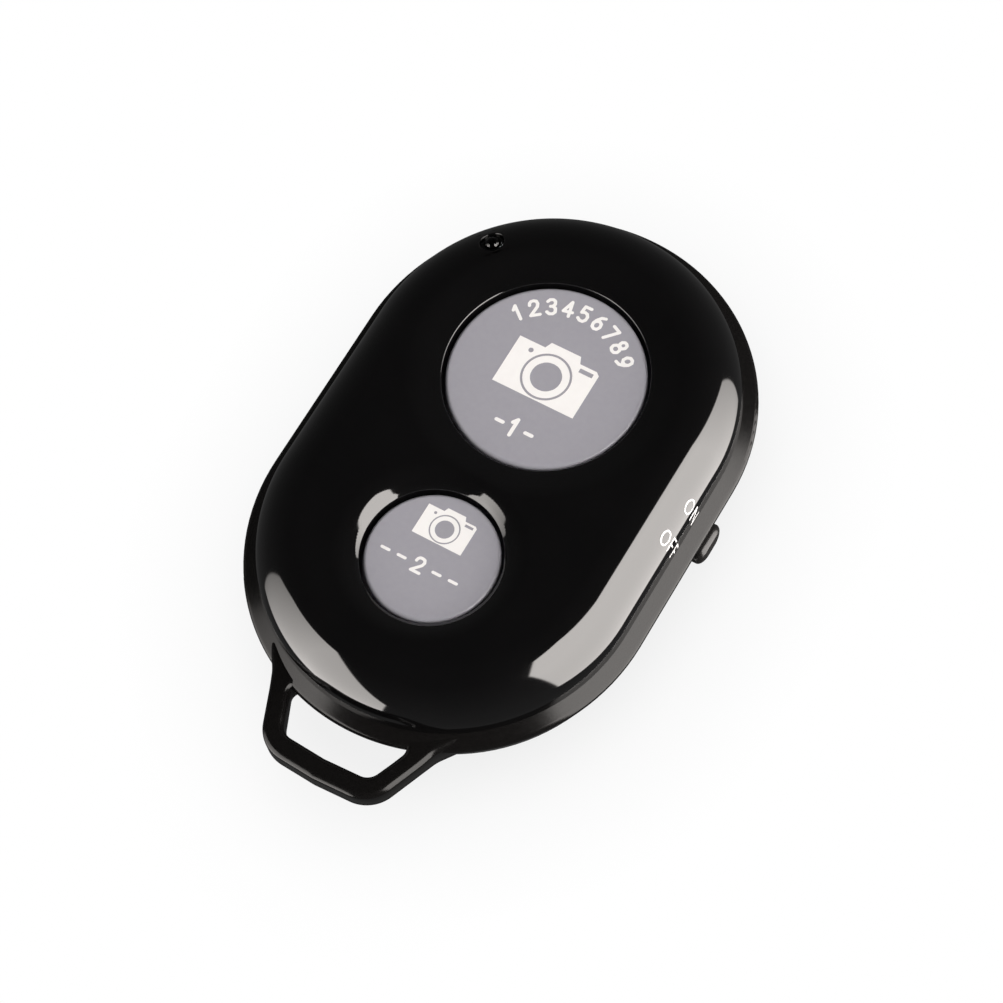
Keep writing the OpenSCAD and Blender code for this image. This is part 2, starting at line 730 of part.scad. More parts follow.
module board_screws() color([0.7, 0.7, 0.7]) for (y = screw_y) translate([0, y, board_top]) difference() {
    union() {
        cylinder(h = screw_head_h, r = screw_head_r);
        translate([0, 0, -screw_l]) cylinder(h = screw_l, r = screw_r);
    }
    for (quarter = [0, 90]) rotate([0, 0, quarter]) translate([0, 0, screw_head_h - screw_slot_h])
        linear_extrude(height = screw_slot_h + over) square([screw_head_r, screw_slot_w], center = true);
}

top_shell();
back_shell();
battery_door();
large_button_cap();
small_button_cap();
light_pipe();
power_knob();
circuit_board();
large_switch_base();
large_switch_cover();
large_switch_plunger();
large_switch_dome();
small_switch_base();
small_switch_cover();
small_switch_plunger();
small_switch_dome();
slide_switch_can();
slide_switch_base();
slide_switch_stem();
status_lamp();
radio_chip();
memory_chip();
crystal();
chip_parts();
aerial_trace();
cell_clip();
cell_contact();
cell_can();
cell_gasket();
cell_cap();
board_screws();
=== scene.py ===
"""Looks of the camera shutter remote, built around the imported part."""
import json
import math

import bpy
import numpy as np
from mathutils import Matrix, Vector
from mathutils.geometry import delaunay_2d_cdt


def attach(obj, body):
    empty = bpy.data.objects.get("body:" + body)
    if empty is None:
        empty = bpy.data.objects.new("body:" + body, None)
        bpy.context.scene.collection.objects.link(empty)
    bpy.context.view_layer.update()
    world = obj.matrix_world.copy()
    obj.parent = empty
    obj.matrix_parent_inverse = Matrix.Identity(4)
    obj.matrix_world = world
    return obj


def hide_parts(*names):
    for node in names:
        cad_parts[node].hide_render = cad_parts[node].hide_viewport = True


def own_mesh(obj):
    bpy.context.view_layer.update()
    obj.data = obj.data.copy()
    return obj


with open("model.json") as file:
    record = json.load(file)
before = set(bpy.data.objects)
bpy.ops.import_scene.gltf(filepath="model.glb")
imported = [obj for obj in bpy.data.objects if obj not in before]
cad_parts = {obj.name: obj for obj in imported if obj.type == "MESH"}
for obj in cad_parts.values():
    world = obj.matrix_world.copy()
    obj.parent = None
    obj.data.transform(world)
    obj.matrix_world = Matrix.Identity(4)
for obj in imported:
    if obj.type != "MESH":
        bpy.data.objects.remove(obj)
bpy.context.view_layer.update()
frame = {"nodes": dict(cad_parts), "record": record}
MM = 0.001

# Shells, in millimetres as in the part: half the straight, radii from the spine line and heights
HALF_L = 7.1
TOP_R = 14.85
SHOULDER_R = 3.9
SPINE_R = TOP_R - SHOULDER_R
CROWN = 10.5
SHOULDER_Z = CROWN - SHOULDER_R
SEAM = 6.2
BODY_R = 16.0
SIDE_FOOT_R, LIP_SHARP, LIP_FOOT_Z, LIP_EDGE_R = 14.2, 0.1, 5.5, 0.5
# The gloss skin's foot: how far it tucks in, drops below the seam and straightens above it
TUCK_IN, TUCK_DOWN, TUCK_UP = 0.06, 0.04, 0.03

# Buttons: centre and radius of each disc, its height and the cap under it
LARGE = (0.0, 7.2, 7.67)
SMALL = (0.0, -9.62, 5.14)
DISC_Z = 9.4
CAP_EDGE, CAP_T, SKIRT_T, CAP_FLAT_R = 0.3, 1.2, 1.0, 0.5
PLUNGER_TOP, BOSS_R = 7.45, 1.4
FLANGE_Z, FLANGE_W = (7.3, 7.9), 0.95
PRINT_LIFT = 0.012

# Wells: gap round the disc, round of the mouth and foot of the wall
GAP, MOUTH_R, WALL_FOOT = 0.25, 0.12, 8.0
# Slope of each well in degrees, by distance outside its disc
DISHES = {
    LARGE: ((0.25, 24), (0.5, 21), (1.8, 19), (2.6, 12), (3.1, 0)),
    SMALL: ((0.25, 44), (0.45, 40), (0.62, 29.6), (0.95, 28.3), (1.15, 26), (1.35, 22), (1.8, 14), (2.3, 0)),
}

# Snap domes under the plungers, and the share of their height that is left when pressed
SNAP_FOOT, SNAP_TOP, SNAP_RIM, SNAP_SHEET, SNAP_KEEP = 6.0, 6.5, 1.5, 0.08, 0.39
SNAP_BEND = (SNAP_RIM ** 2 + (SNAP_TOP - SNAP_FOOT) ** 2) / (2 * (SNAP_TOP - SNAP_FOOT))

# Knob of the slide switch, and its slightly raised face
KNOB_Y, KNOB_Z, KNOB_L, KNOB_H, KNOB_OUT, KNOB_X, KNOB_ROUND = 2.85, 4.1, 3.4, 1.9, 0.5, 13.0, 0.5
KNOB_TURN, KNOB_FACE_SHARE, KNOB_FACE_DROP = 80, 0.3, 0.004

# Status light in the shoulder: place, hole with a rounded rim, and the clear dome in its ring
LIGHT_R, LIGHT_REACH, LIGHT_FOOT = 0.9, 12.2, 0.2
LIGHT_HOLE_R, LIGHT_RIM, LIGHT_HOLE_DEEP, LIGHT_RIM_TURNS = 0.97, 0.1, 1.1, (25, 50, 75, 90)
LIGHT_AZ, LIGHT_EL = math.radians(139.5), math.acos((LIGHT_REACH - SPINE_R) / SHOULDER_R)
DOME_R, DOME_AT, RING_AT = 0.66, SHOULDER_R - 0.46, SHOULDER_R - 0.3
# The patch of the shoulder that is meshed again round the hole: spokes to each side and rows
LIGHT_STEPS, LIGHT_SPOKES, LIGHT_ROWS = 56, 9, (28, 48)
LIGHT_RINGS, LIGHT_CLEAR_R = (1.15, 1.3, 1.5), 1.62

# Lanyard loop: bar, outer edge, slot, and the rise of its top onto the lip
LOOP_TOP, LOOP_FOOT, LOOP_EDGE_R, LOOP_BOW, LOOP_BAR = 5.6, 3.4, 0.5, 0.25, 1.7
LOOP_ROOT, LOOP_ROOT_Y, LOOP_END, LOOP_FAR = 7.05, -21.74, 4.8, 27.3
LOOP_CORNER_R, LOOP_FILLET_R, LOOP_ANCHOR = 2.9, 3.0, (10.56, -16.87)
SLOT_ROOT, SLOT_ROOT_Y, SLOT_END = 5.15, -22.35, 3.75
SLOT_CORNER_R, SLOT_FILLET_R, SLOT_ANCHOR, SLOT_BOW_SHARE = 1.2, 0.8, (3.0, -20.4), 0.8
RISE_FROM_R, RISE_SPAN, ROOT_RISE, SLOT_RISE_SHARE = 17.4, 2.2, 0.5, 0.5
# The strip of side and lip that closes the shell behind the loop
STRIP_FIRST, STRIP_LAST, STRIP_LOW, STRIP_IN, STRIP_UP, STRIP_LIFT = 216, 324, 2.4, 0.3, 0.168, 0.01
# Packed faces left out there: those that stand off the wall by this, and slivers in square metres
OFF_WALL, SLIVER = 0.03, 1e-13

# Fineness of the meshes
ROUND_STEPS, STRAIGHT_STEPS, SHOULDER_STEPS = 160, 24, 48
WELL_STEPS, WELL_RINGS, FIRST_RING, MOUTH_STEPS, SLOPE_STEPS = 144, 24, 0.08, 8, 400
FIELD_X, FIELD_Y, FIELD_STEP, FIELD_EDGE, FIELD_WELL = 11.0, 18.2, 0.55, 0.25, 0.3
CAP_STEPS, KNOB_STEPS, LENS_STEPS, SNAP_STEPS, DOME_STEPS = 160, 64, 64, 48, 16
BEND_STEPS, BAR_PIECES, LEG_PIECES, ROOT_PIECES, BAR_STEPS = 12, 8, 10, 4, 14
STRIP_STEPS, STRIP_PIECE = 108, 0.4
# A flat's first step beside a round, so short that both keep their own normals
HAIR = 0.001
# Small distances: none, points that become one, slack at an edge, reach of a slope
NONE, WELD, FINE_WELD, EDGE_SLACK, SLOPE_REACH = 1e-9, 1e-7, 1e-9, 1e-3, 0.004


# Materials: the relief's depth is in metres
COAT_ROUGH, RELIEF_DEPTH, FINE_DETAIL = 0.03, 0.00002, 4.0
CLEAR_GRAIN, PLAIN_DETAIL, CLEAR_SPREAD, CLEAR_GAIN = 900.0, 2.0, 0.3, 1.06
LOOKS = {}


def nodes_of(name):
    mat = bpy.data.materials.new(name)
    mat.use_nodes = True
    tree = mat.node_tree
    tree.nodes.clear()
    out = tree.nodes.new("ShaderNodeOutputMaterial")
    return mat, tree, out


def add(tree, kind, sockets=None, **settings):
    """Adds a node with its settings and the values of its sockets."""
    node = tree.nodes.new(kind)
    for key, value in settings.items():
        setattr(node, key, value)
    for key, value in (sockets or {}).items():
        node.inputs[key].default_value = value
    return node


def link(output, socket):
    output.id_data.links.new(output, socket)


def wander(tree, shader, low, high, rough, grain, detail, stretch=(1, 1, 1)):
    """Lets colour and roughness wander between two values each, with fine noise that it returns."""
    place = add(tree, "ShaderNodeTexCoord")
    turn = add(tree, "ShaderNodeMapping", {"Scale": stretch})
    noise = add(tree, "ShaderNodeTexNoise", {"Scale": grain, "Detail": detail})
    tint = add(tree, "ShaderNodeMixRGB", {1: (*low, 1), 2: (*high, 1)})
    spread = add(tree, "ShaderNodeMapRange", {"To Min": rough[0], "To Max": rough[1]})
    link(place.outputs["Object"], turn.inputs["Vector"])
    link(turn.outputs["Vector"], noise.inputs["Vector"])
    link(noise.outputs["Fac"], tint.inputs[0])
    link(noise.outputs["Fac"], spread.inputs["Value"])
    link(tint.outputs[0], shader.inputs["Base Color"])
    link(spread.outputs["Result"], shader.inputs["Roughness"])
    return noise


def surface(name, low, high, rough, rough_step, grain, bump, metallic=0.0, coat=0.0, ior=1.5,
            stretch=(1, 1, 1)):
    """A plastic, metal or lacquer with fine wandering colour, roughness and relief."""
    mat, tree, out = nodes_of(name)
    shader = add(tree, "ShaderNodeBsdfPrincipled", {
        "Metallic": metallic, "IOR": ior, "Coat Weight": coat, "Coat Roughness": COAT_ROUGH})
    spread = (rough - rough_step, rough + rough_step)
    noise = wander(tree, shader, low, high, spread, grain, FINE_DETAIL, stretch)
    if bump:
        relief = add(tree, "ShaderNodeBump", {"Strength": bump, "Distance": RELIEF_DEPTH})
        link(noise.outputs["Fac"], relief.inputs["Height"])
        link(relief.outputs["Normal"], shader.inputs["Normal"])
    link(shader.outputs["BSDF"], out.inputs["Surface"])
    LOOKS[name] = mat


def clear(name, tint, rough, ior=1.49):
    """A clear plastic with a faint wandering tint."""
    mat, tree, out = nodes_of(name)
    shader = add(tree, "ShaderNodeBsdfPrincipled", {"Transmission Weight": 1.0, "IOR": ior})
    high = [min(1, c * CLEAR_GAIN) for c in tint]
    spread = (rough * (1 - CLEAR_SPREAD), rough * (1 + CLEAR_SPREAD))
    wander(tree, shader, tint, high, spread, CLEAR_GRAIN, PLAIN_DETAIL)
    link(shader.outputs["BSDF"], out.inputs["Surface"])
    LOOKS[name] = mat


def grey(level):
    return (level, level, level)


# Each surface: darker and lighter colour, roughness and its spread, grain, relief
surface("gloss_black", (0.0022, 0.0022, 0.0024), (0.0035, 0.0034, 0.0036), 0.055, 0.015, 260, 0.0, ior=1.7)
surface("satin_black", (0.0035, 0.0033, 0.0033), (0.006, 0.0056, 0.0055), 0.17, 0.04, 2600, 0.05, ior=1.34)
surface("grey_cap", (0.305, 0.305, 0.345), (0.335, 0.335, 0.375), 0.3, 0.04, 2200, 0.06)
surface("white_legend", grey(0.84), grey(0.88), 0.5, 0.05, 1800, 0.03)
surface("knob_black", (0.01, 0.0095, 0.0095), (0.016, 0.015, 0.0145), 0.26, 0.05, 2400, 0.1)
surface("moulding_black", grey(0.01), grey(0.02), 0.45, 0.05, 2000, 0.1)
surface("board_green", (0.008, 0.07, 0.03), (0.014, 0.1, 0.045), 0.32, 0.05, 1500, 0.05, coat=0.4)
surface("sheet_metal", (0.62, 0.62, 0.6), (0.72, 0.72, 0.7), 0.26, 0.06, 1600, 0.08,
        metallic=1.0, stretch=(1, 8, 1))
surface("cell_metal", (0.6, 0.6, 0.59), (0.7, 0.7, 0.69), 0.24, 0.06, 1400, 0.08,
        metallic=1.0, stretch=(8, 1, 1))
surface("screw_metal", grey(0.45), (0.56, 0.56, 0.55), 0.3, 0.05, 1800, 0.05, metallic=1.0)
surface("copper_gold", (0.75, 0.5, 0.2), (0.85, 0.6, 0.28), 0.28, 0.05, 1600, 0.05, metallic=1.0)
surface("gasket_black", grey(0.015), grey(0.025), 0.6, 0.06, 1500, 0.05)
surface("lamp_white", (0.75, 0.75, 0.66), (0.86, 0.86, 0.78), 0.3, 0.05, 1500, 0.02, coat=0.6)
surface("chip_tan", (0.24, 0.15, 0.09), (0.34, 0.22, 0.13), 0.35, 0.05, 1800, 0.03)
clear("clear_lens", (0.35, 0.38, 0.42), 0.03)

for part in frame["record"]["subparts"]:
    shown = frame["nodes"][part["node"]]
    shown.data.materials.clear()
    shown.data.materials.append(LOOKS[part["material_slot"]])


# Mesh helpers
def placed(name, data):
    """A new object of the scene."""
    obj = bpy.data.objects.new(name, data)
    bpy.context.scene.collection.objects.link(obj)
    return obj


def mesh_object(name, points, faces, look, normals=None, corners=None):
    """A smooth mesh in millimetres, with normals for its points or for its faces' corners."""
    mesh = bpy.data.meshes.new(name)
    spots = [tuple(np.asarray(p, float) * MM) for p in points]
    mesh.from_pydata(spots, [], [tuple(int(i) for i in f) for f in faces])
    mesh.validate()
    mesh.update()
    mesh.polygons.foreach_set("use_smooth", [True] * len(mesh.polygons))
    if normals is not None:
        mesh.normals_split_custom_set_from_vertices([tuple(n) for n in normals])
    if corners is not None:
        mesh.normals_split_custom_set([tuple(n) for n in corners])
    mesh.materials.append(LOOKS[look])
    return placed(name, mesh)


def inside(point, loop):
    """True where a point of the plane lies in a closed outline."""
    x, y = point
    hit = False
    for (ax, ay), (bx, by) in zip(loop, loop[1:] + loop[:1]):
        if (ay > y) != (by > y) and x < ax + (y - ay) / (by - ay) * (bx - ax):
            hit = not hit
    return hit


def ring_edges(base, count):
    """Edges of a closed ring of points that are numbered from base."""
    return [(base + i, base + (i + 1) % count) for i in range(count)]


def join_rings(outer, inner, faces):
    for i in range(len(outer)):
        j = (i + 1) % len(outer)
        faces.append((outer[i], outer[j], inner[j], inner[i]))


def triangulate(plan, edges, weld=WELD):
    """Fills a plan and keeps its edges: points, anticlockwise triangles with middles, points' sources."""
    coords, _, tris, sources, _, _ = delaunay_2d_cdt([Vector(p) for p in plan], edges, [], 0, weld)
    turned = []
    for tri in tris:
        a, b, c = (coords[i] for i in tri)
        ccw = (b[0] - a[0]) * (c[1] - a[1]) - (b[1] - a[1]) * (c[0] - a[0]) > 0
        middle = ((a[0] + b[0] + c[0]) / 3, (a[1] + b[1] + c[1]) / 3)
        turned.append((list(tri if ccw else tri[::-1]), middle))
    return coords, turned, sources


def number_points(sources, known, laid, points, normals):
    """Numbers planned points: those that stem from known ones keep their number, the rest are added."""
    number = []
    for stems, (spot, way) in zip(sources, laid):
        old = [known[i] for i in stems if i < len(known)]
        if not old:
            old = [len(points)]
            points.append(spot)
            normals.append(way)
        number.append(old[0])
    return number


def arc(cx, cz, r, first, last, steps=10):
    turns = [math.radians(first + (last - first) * i / steps) for i in range(steps + 1)]
    return [(cx + r * math.cos(t), cz + r * math.sin(t)) for t in turns]


def circle(cx, cy, r, steps=48):
    turns = [2 * math.pi * k / steps for k in range(steps)]
    return [(cx + r * math.cos(t), cy + r * math.sin(t)) for t in turns]


def runs_mesh(name, runs, spot, turned, steps, look):
    """Sweeps runs of (distance, height) points round a way, smooth in a run and sharp between two runs.

    spot(i, distance, height) gives the point at step i and turned(i, out, up) its normal.
    """
    points, faces, corners, known = [], [], [], {}

    def point(i, r, z):
        key = (i % steps if r > NONE else 0, round(r, 5), round(z, 5))
        if key not in known:
            known[key] = len(points)
            points.append(spot(key[0], r, z))
        return known[key]

    for run in runs:
        ways = []
        for k in range(len(run)):
            a, b = run[max(k - 1, 0)], run[min(k + 1, len(run) - 1)]
            ways.append(np.array([b[1] - a[1], -(b[0] - a[0])]) / math.hypot(b[0] - a[0], b[1] - a[1]))
        for k in range(len(run) - 1):
            for i in range(steps):
                quad = [(i, k), (i + 1, k), (i + 1, k + 1), (i, k + 1)]
                ids = [point(s, *run[m]) for s, m in quad]
                norms = [turned(s % steps, *ways[m]) for s, m in quad]
                kept = [q for q in range(4) if ids[q] != ids[q - 1]]
                if len(kept) > 2:
                    faces.append([ids[q] for q in kept])
                    corners += [norms[q] for q in kept]
    return mesh_object(name, points, faces, look, corners=corners)


def lathe(name, runs, look, centre=(0, 0, 0), axis=(0, 0, 1), steps=96):
    """Turns runs of (distance, height) points round an axis."""
    frame_z = Vector(axis).normalized()
    frame_x = frame_z.orthogonal().normalized()
    frame_y = frame_z.cross(frame_x)
    middle = Vector(centre)

    def around(i):
        a = 2 * math.pi * i / steps
        return frame_x * math.cos(a) + frame_y * math.sin(a)

    def spot(i, r, z):
        return tuple(middle + around(i) * r + frame_z * z)

    def turned(i, out, up):
        return tuple(around(i) * out + frame_z * up)

    return runs_mesh(name, runs, spot, turned, steps, look)


# Top shell: a stadium sweep for side and shoulder, and a lid with two dished wells
def dish_depth(well, rho):
    """Depth of a well below the crown at distance rho from its centre, from its slope."""
    offs, slopes = np.array(DISHES[well], float).T
    steps = np.linspace(offs[0], offs[-1], SLOPE_STEPS)
    tangent = np.tan(np.radians(np.interp(steps, offs, slopes)))
    drops = (tangent[:-1] + tangent[1:]) / 2 * (steps[1] - steps[0])
    depth = np.concatenate([np.cumsum(drops[::-1])[::-1], [0]])
    return np.interp(rho - well[2], steps, depth)


def dish_end(well):
    """Distance from a well's centre at which its slope has run out."""
    return well[2] + DISHES[well][-1][0]


def mouth(well):
    """Ring where the well meets the round of its mouth: distance, height and slope in degrees."""
    slope = DISHES[well][0][1]
    rho = well[2] + GAP + MOUTH_R * (1 - math.sin(math.radians(slope)))
    return rho, CROWN - float(dish_depth(well, rho)), slope


def lid_height(x, y):
    """Height of the top shell's face inside the spine line, with its two dished wells."""
    z = np.full_like(x, CROWN)
    for well in (LARGE, SMALL):
        z = np.minimum(z, CROWN - dish_depth(well, np.hypot(x - well[0], y - well[1])))
    return z


def lid_normals(x, y):
    e = SLOPE_REACH
    gx = (lid_height(x + e, y) - lid_height(x - e, y)) / (2 * e)
    gy = (lid_height(x, y + e) - lid_height(x, y - e)) / (2 * e)
    n = np.stack([-gx, -gy, np.ones_like(x)], -1)
    return n / np.linalg.norm(n, axis=1)[:, None]


def outline_frames():
    """Anticlockwise round the stadium: centre of each spoke and the way it points."""
    centres, ways = [], []
    for end, first in ((1, 0), (-1, math.pi)):
        for i in range(ROUND_STEPS):
            a = first + math.pi * i / ROUND_STEPS
            centres.append((0, end * HALF_L))
            ways.append((math.cos(a), math.sin(a)))
        for i in range(STRAIGHT_STEPS):
            centres.append((0, end * (HALF_L - 2 * HALF_L * i / STRAIGHT_STEPS)))
            ways.append((-end, 0))
    return np.array(centres), np.array(ways)


CENTRES, WAYS = outline_frames()


def sweep_rows(profile, points, faces, normals):
    """Adds a stadium sweep of profile rows (distance, height, out, up) and returns where each row starts."""
    starts = []
    for r, z, out, up in profile:
        starts.append(len(points))
        for c, w in zip(CENTRES, WAYS):
            points.append((c[0] + w[0] * r, c[1] + w[1] * r, z))
            normals.append((w[0] * out, w[1] * out, up))
    for a, b in zip(starts, starts[1:]):
        for i in range(len(CENTRES)):
            j = (i + 1) % len(CENTRES)
            faces.append((a + i, a + j, b + j, b + i))
    return starts


def way_at(a, e):
    """The way that points in direction a at elevation e."""
    return (math.cos(a) * math.cos(e), math.sin(a) * math.cos(e), math.sin(e))


LIGHT_AXIS = Vector(way_at(LIGHT_AZ, LIGHT_EL))
LIGHT_ROOT = Vector((SPINE_R * math.cos(LIGHT_AZ), HALF_L + SPINE_R * math.sin(LIGHT_AZ), SHOULDER_Z))


def on_torus(a, e, r=SHOULDER_R):
    """Point and normal of the shoulder's round end, by direction a and elevation e."""
    way = way_at(a, e)
    x = math.cos(a) * SPINE_R + way[0] * r
    y = HALF_L + math.sin(a) * SPINE_R + way[1] * r
    return (x, y, SHOULDER_Z + way[2] * r), way


def light_ring(r):
    """Places on the shoulder at distance r from the light's axis: direction, elevation, way inwards."""
    x = LIGHT_AXIS.orthogonal().normalized()
    y = LIGHT_AXIS.cross(x)
    places = []
    for i in range(LIGHT_STEPS):
        t = 2 * math.pi * i / LIGHT_STEPS
        p = LIGHT_ROOT + LIGHT_AXIS * SHOULDER_R + x * (r * math.cos(t)) + y * (r * math.sin(t))
        a = math.atan2(p.y - HALF_L, p.x)
        e = math.atan2(p.z - SHOULDER_Z, math.hypot(p.x, p.y - HALF_L) - SPINE_R)
        places.append((a, e, -(x * math.cos(t) + y * math.sin(t))))
    return places


def light_opening(starts, points, faces, normals):
    """Cuts the light's hole into the shoulder: a patch of the sweep is filled again round the hole."""
    step, rise = math.pi / ROUND_STEPS, math.pi / 2 / SHOULDER_STEPS
    middle = round(LIGHT_AZ / step)
    first, last = middle - LIGHT_SPOKES, middle + LIGHT_SPOKES
    low, high = LIGHT_ROWS
    gone = set()
    for k in range(low, high):
        for i in range(first, last):
            gone.add((starts[k] + i, starts[k] + i + 1, starts[k + 1] + i + 1, starts[k + 1] + i))
    faces[:] = [f for f in faces if tuple(f) not in gone]

    # Plan in direction and elevation: border of the patch, rim of the hole, rings round it, old points
    grid = [(i * step, k * rise, starts[k] + i) for k in range(low, high + 1) for i in range(first, last + 1)]
    border = [g for g in grid if g[0] in (first * step, last * step) or g[1] in (low * rise, high * rise)]
    border.sort(key=lambda g: math.atan2(g[1] - LIGHT_EL, g[0] - LIGHT_AZ))
    hole = light_ring(LIGHT_HOLE_R + LIGHT_RIM)
    plan = [place[:2] for place in border + hole]
    for r in LIGHT_RINGS:
        plan += [place[:2] for place in light_ring(r)]
    for a, e, _ in grid:
        p = Vector(on_torus(a, e)[0]) - LIGHT_ROOT
        if (p - LIGHT_AXIS * p.dot(LIGHT_AXIS)).length > LIGHT_CLEAR_R and (a, e) not in plan:
            plan.append((a, e))
    edges = ring_edges(0, len(border)) + ring_edges(len(border), len(hole))
    coords, tris, sources = triangulate(plan, edges, FINE_WELD)
    laid = [on_torus(*c) for c in coords]
    number = number_points(sources, [g[2] for g in border], laid, points, normals)
    rim = [place[:2] for place in hole]
    faces += [[number[i] for i in tri] for tri, centre in tris if not inside(centre, rim)]

    # Rounded rim and wall of the hole
    number_of = {i: number[k] for k, stems in enumerate(sources) for i in stems}
    previous = [number_of[len(border) + i] for i in range(len(hole))]
    rows = [(LIGHT_RIM * (1 - math.sin(t)), LIGHT_RIM * (1 - math.cos(t)), math.sin(t), math.cos(t))
            for t in np.radians(LIGHT_RIM_TURNS)]
    for out, sink, inwards, up in rows + [(0, LIGHT_HOLE_DEEP, 1, 0)]:
        ring = []
        for a, e, inward in light_ring(LIGHT_HOLE_R + out):
            spot, way = on_torus(a, e, SHOULDER_R - sink)
            ring.append(len(points))
            points.append(spot)
            normals.append(tuple(inward * inwards + Vector(way) * up))
        join_rings(previous, ring, faces)
        previous = ring


def in_lid(x, y, margin):
    """True where a point lies inside the spine line by at least the margin."""
    return math.hypot(x, max(abs(y) - HALF_L, 0)) <= SPINE_R - margin


def add_lid(boundary, points, faces, normals):
    """Fills the shell's face between the spine line and both wells, and returns each well's rim."""
    plan = [points[i][:2] for i in boundary]
    edges = ring_edges(0, len(boundary))
    rims = []
    for well in (LARGE, SMALL):
        cx, cy, _ = well
        edge = mouth(well)[0]
        rims.append(len(plan))
        edges += ring_edges(len(plan), WELL_STEPS)
        for k, rho in enumerate([edge, *np.linspace(edge + FIRST_RING, dish_end(well), WELL_RINGS)]):
            for i in range(WELL_STEPS):
                a = 2 * math.pi * (i + 0.5 * (k % 2)) / WELL_STEPS
                plan.append((cx + rho * math.cos(a), cy + rho * math.sin(a)))
    for x in np.arange(-FIELD_X, FIELD_X + NONE, FIELD_STEP):
        for y in np.arange(-FIELD_Y, FIELD_Y + NONE, FIELD_STEP):
            clear_of = all(math.hypot(x - w[0], y - w[1]) > dish_end(w) + FIELD_WELL for w in (LARGE, SMALL))
            if clear_of and in_lid(x, y, FIELD_EDGE):
                plan.append((x, y))
    coords, tris, sources = triangulate(plan, edges)
    x, y = np.array([tuple(c) for c in coords]).T
    laid = list(zip(zip(x, y, lid_height(x, y)), map(tuple, lid_normals(x, y))))
    number = number_points(sources, boundary, laid, points, normals)
    for tri, (mx, my) in tris:
        open_well = any(math.hypot(mx - w[0], my - w[1]) < mouth(w)[0] - EDGE_SLACK for w in (LARGE, SMALL))
        if in_lid(mx, my, -EDGE_SLACK) and not open_well:
            faces.append([number[i] for i in tri])
    number_of = {i: number[k] for k, stems in enumerate(sources) for i in stems}
    return [[number_of[base + i] for i in range(WELL_STEPS)] for base in rims]


def add_mouth(well, rim, points, faces, normals):
    """Rounded mouth and wall of a well, from its rim down."""
    cx, cy, r = well
    _, z, slope = mouth(well)
    foot = z - MOUTH_R * math.cos(math.radians(slope))
    rows = [(r + GAP + MOUTH_R * (1 - math.sin(t)), foot + MOUTH_R * math.cos(t), math.sin(t), math.cos(t))
            for t in np.radians(np.linspace(slope, 90, MOUTH_STEPS + 1)[1:])]
    rows.append((r + GAP, WALL_FOOT, 1, 0))
    previous = rim
    for rho, z, inward, up in rows:
        ring = []
        for i in range(WELL_STEPS):
            a = 2 * math.pi * i / WELL_STEPS
            ring.append(len(points))
            points.append((cx + rho * math.cos(a), cy + rho * math.sin(a), z))
            normals.append((-math.cos(a) * inward, -math.sin(a) * inward, up))
        join_rings(previous, ring, faces)
        previous = ring


def build_top_shell():
    points, faces, normals = [], [], []
    side = [(TOP_R - TUCK_IN, SEAM - TUCK_DOWN, 1, 0), (TOP_R, SEAM + TUCK_UP, 1, 0),
            (TOP_R, (SEAM + SHOULDER_Z) / 2, 1, 0)]
    shoulder = []
    for i in range(SHOULDER_STEPS + 1):
        a = math.pi / 2 * i / SHOULDER_STEPS
        out, up = math.cos(a), math.sin(a)
        shoulder.append((SPINE_R + SHOULDER_R * out, SHOULDER_Z + SHOULDER_R * up, out, up))
    starts = sweep_rows(side + shoulder, points, faces, normals)
    light_opening(starts[len(side) - 1:], points, faces, normals)
    boundary = [starts[-1] + i for i in range(len(CENTRES))]
    rims = add_lid(boundary, points, faces, normals)
    for well, rim in zip((LARGE, SMALL), rims):
        add_mouth(well, rim, points, faces, normals)
    return mesh_object("top_shell_skin", points, faces, "gloss_black", normals)


top = build_top_shell()
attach(top, "housing")
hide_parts("top_shell")


# Button caps
def build_cap(name, cy, r):
    under = DISC_Z - CAP_T
    corners = [(0, PLUNGER_TOP), (BOSS_R, PLUNGER_TOP), (BOSS_R, under), (r - SKIRT_T, under),
               (r - SKIRT_T, FLANGE_Z[0]), (r + FLANGE_W, FLANGE_Z[0]), (r + FLANGE_W, FLANGE_Z[1]),
               (r, FLANGE_Z[1])]
    runs = [list(pair) for pair in zip(corners, corners[1:])]
    edge = arc(r - CAP_EDGE, DISC_Z - CAP_EDGE, CAP_EDGE, 0, 90)
    runs.append([corners[-1], (r, DISC_Z - CAP_EDGE - HAIR)] + edge
                + [(r - CAP_EDGE - HAIR, DISC_Z), (CAP_FLAT_R, DISC_Z), (0, DISC_Z)])
    return lathe(name, runs, "grey_cap", centre=(0, cy, 0), steps=CAP_STEPS)


for size, (_, cy, r) in (("large", LARGE), ("small", SMALL)):
    cap = build_cap(size + "_cap_skin", cy, r)
    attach(cap, size + "_button")
    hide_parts(size + "_button_cap")


# Print: strokes of even width and cut-out plates, laid on a surface by a function of two lengths
STROKE_PIECE, DOT_STEPS, O_WIDE, O_STEPS = 0.12, 14, 0.42, 24
O_TURNS = [2 * math.pi * k / O_STEPS for k in range(O_STEPS + 1)]
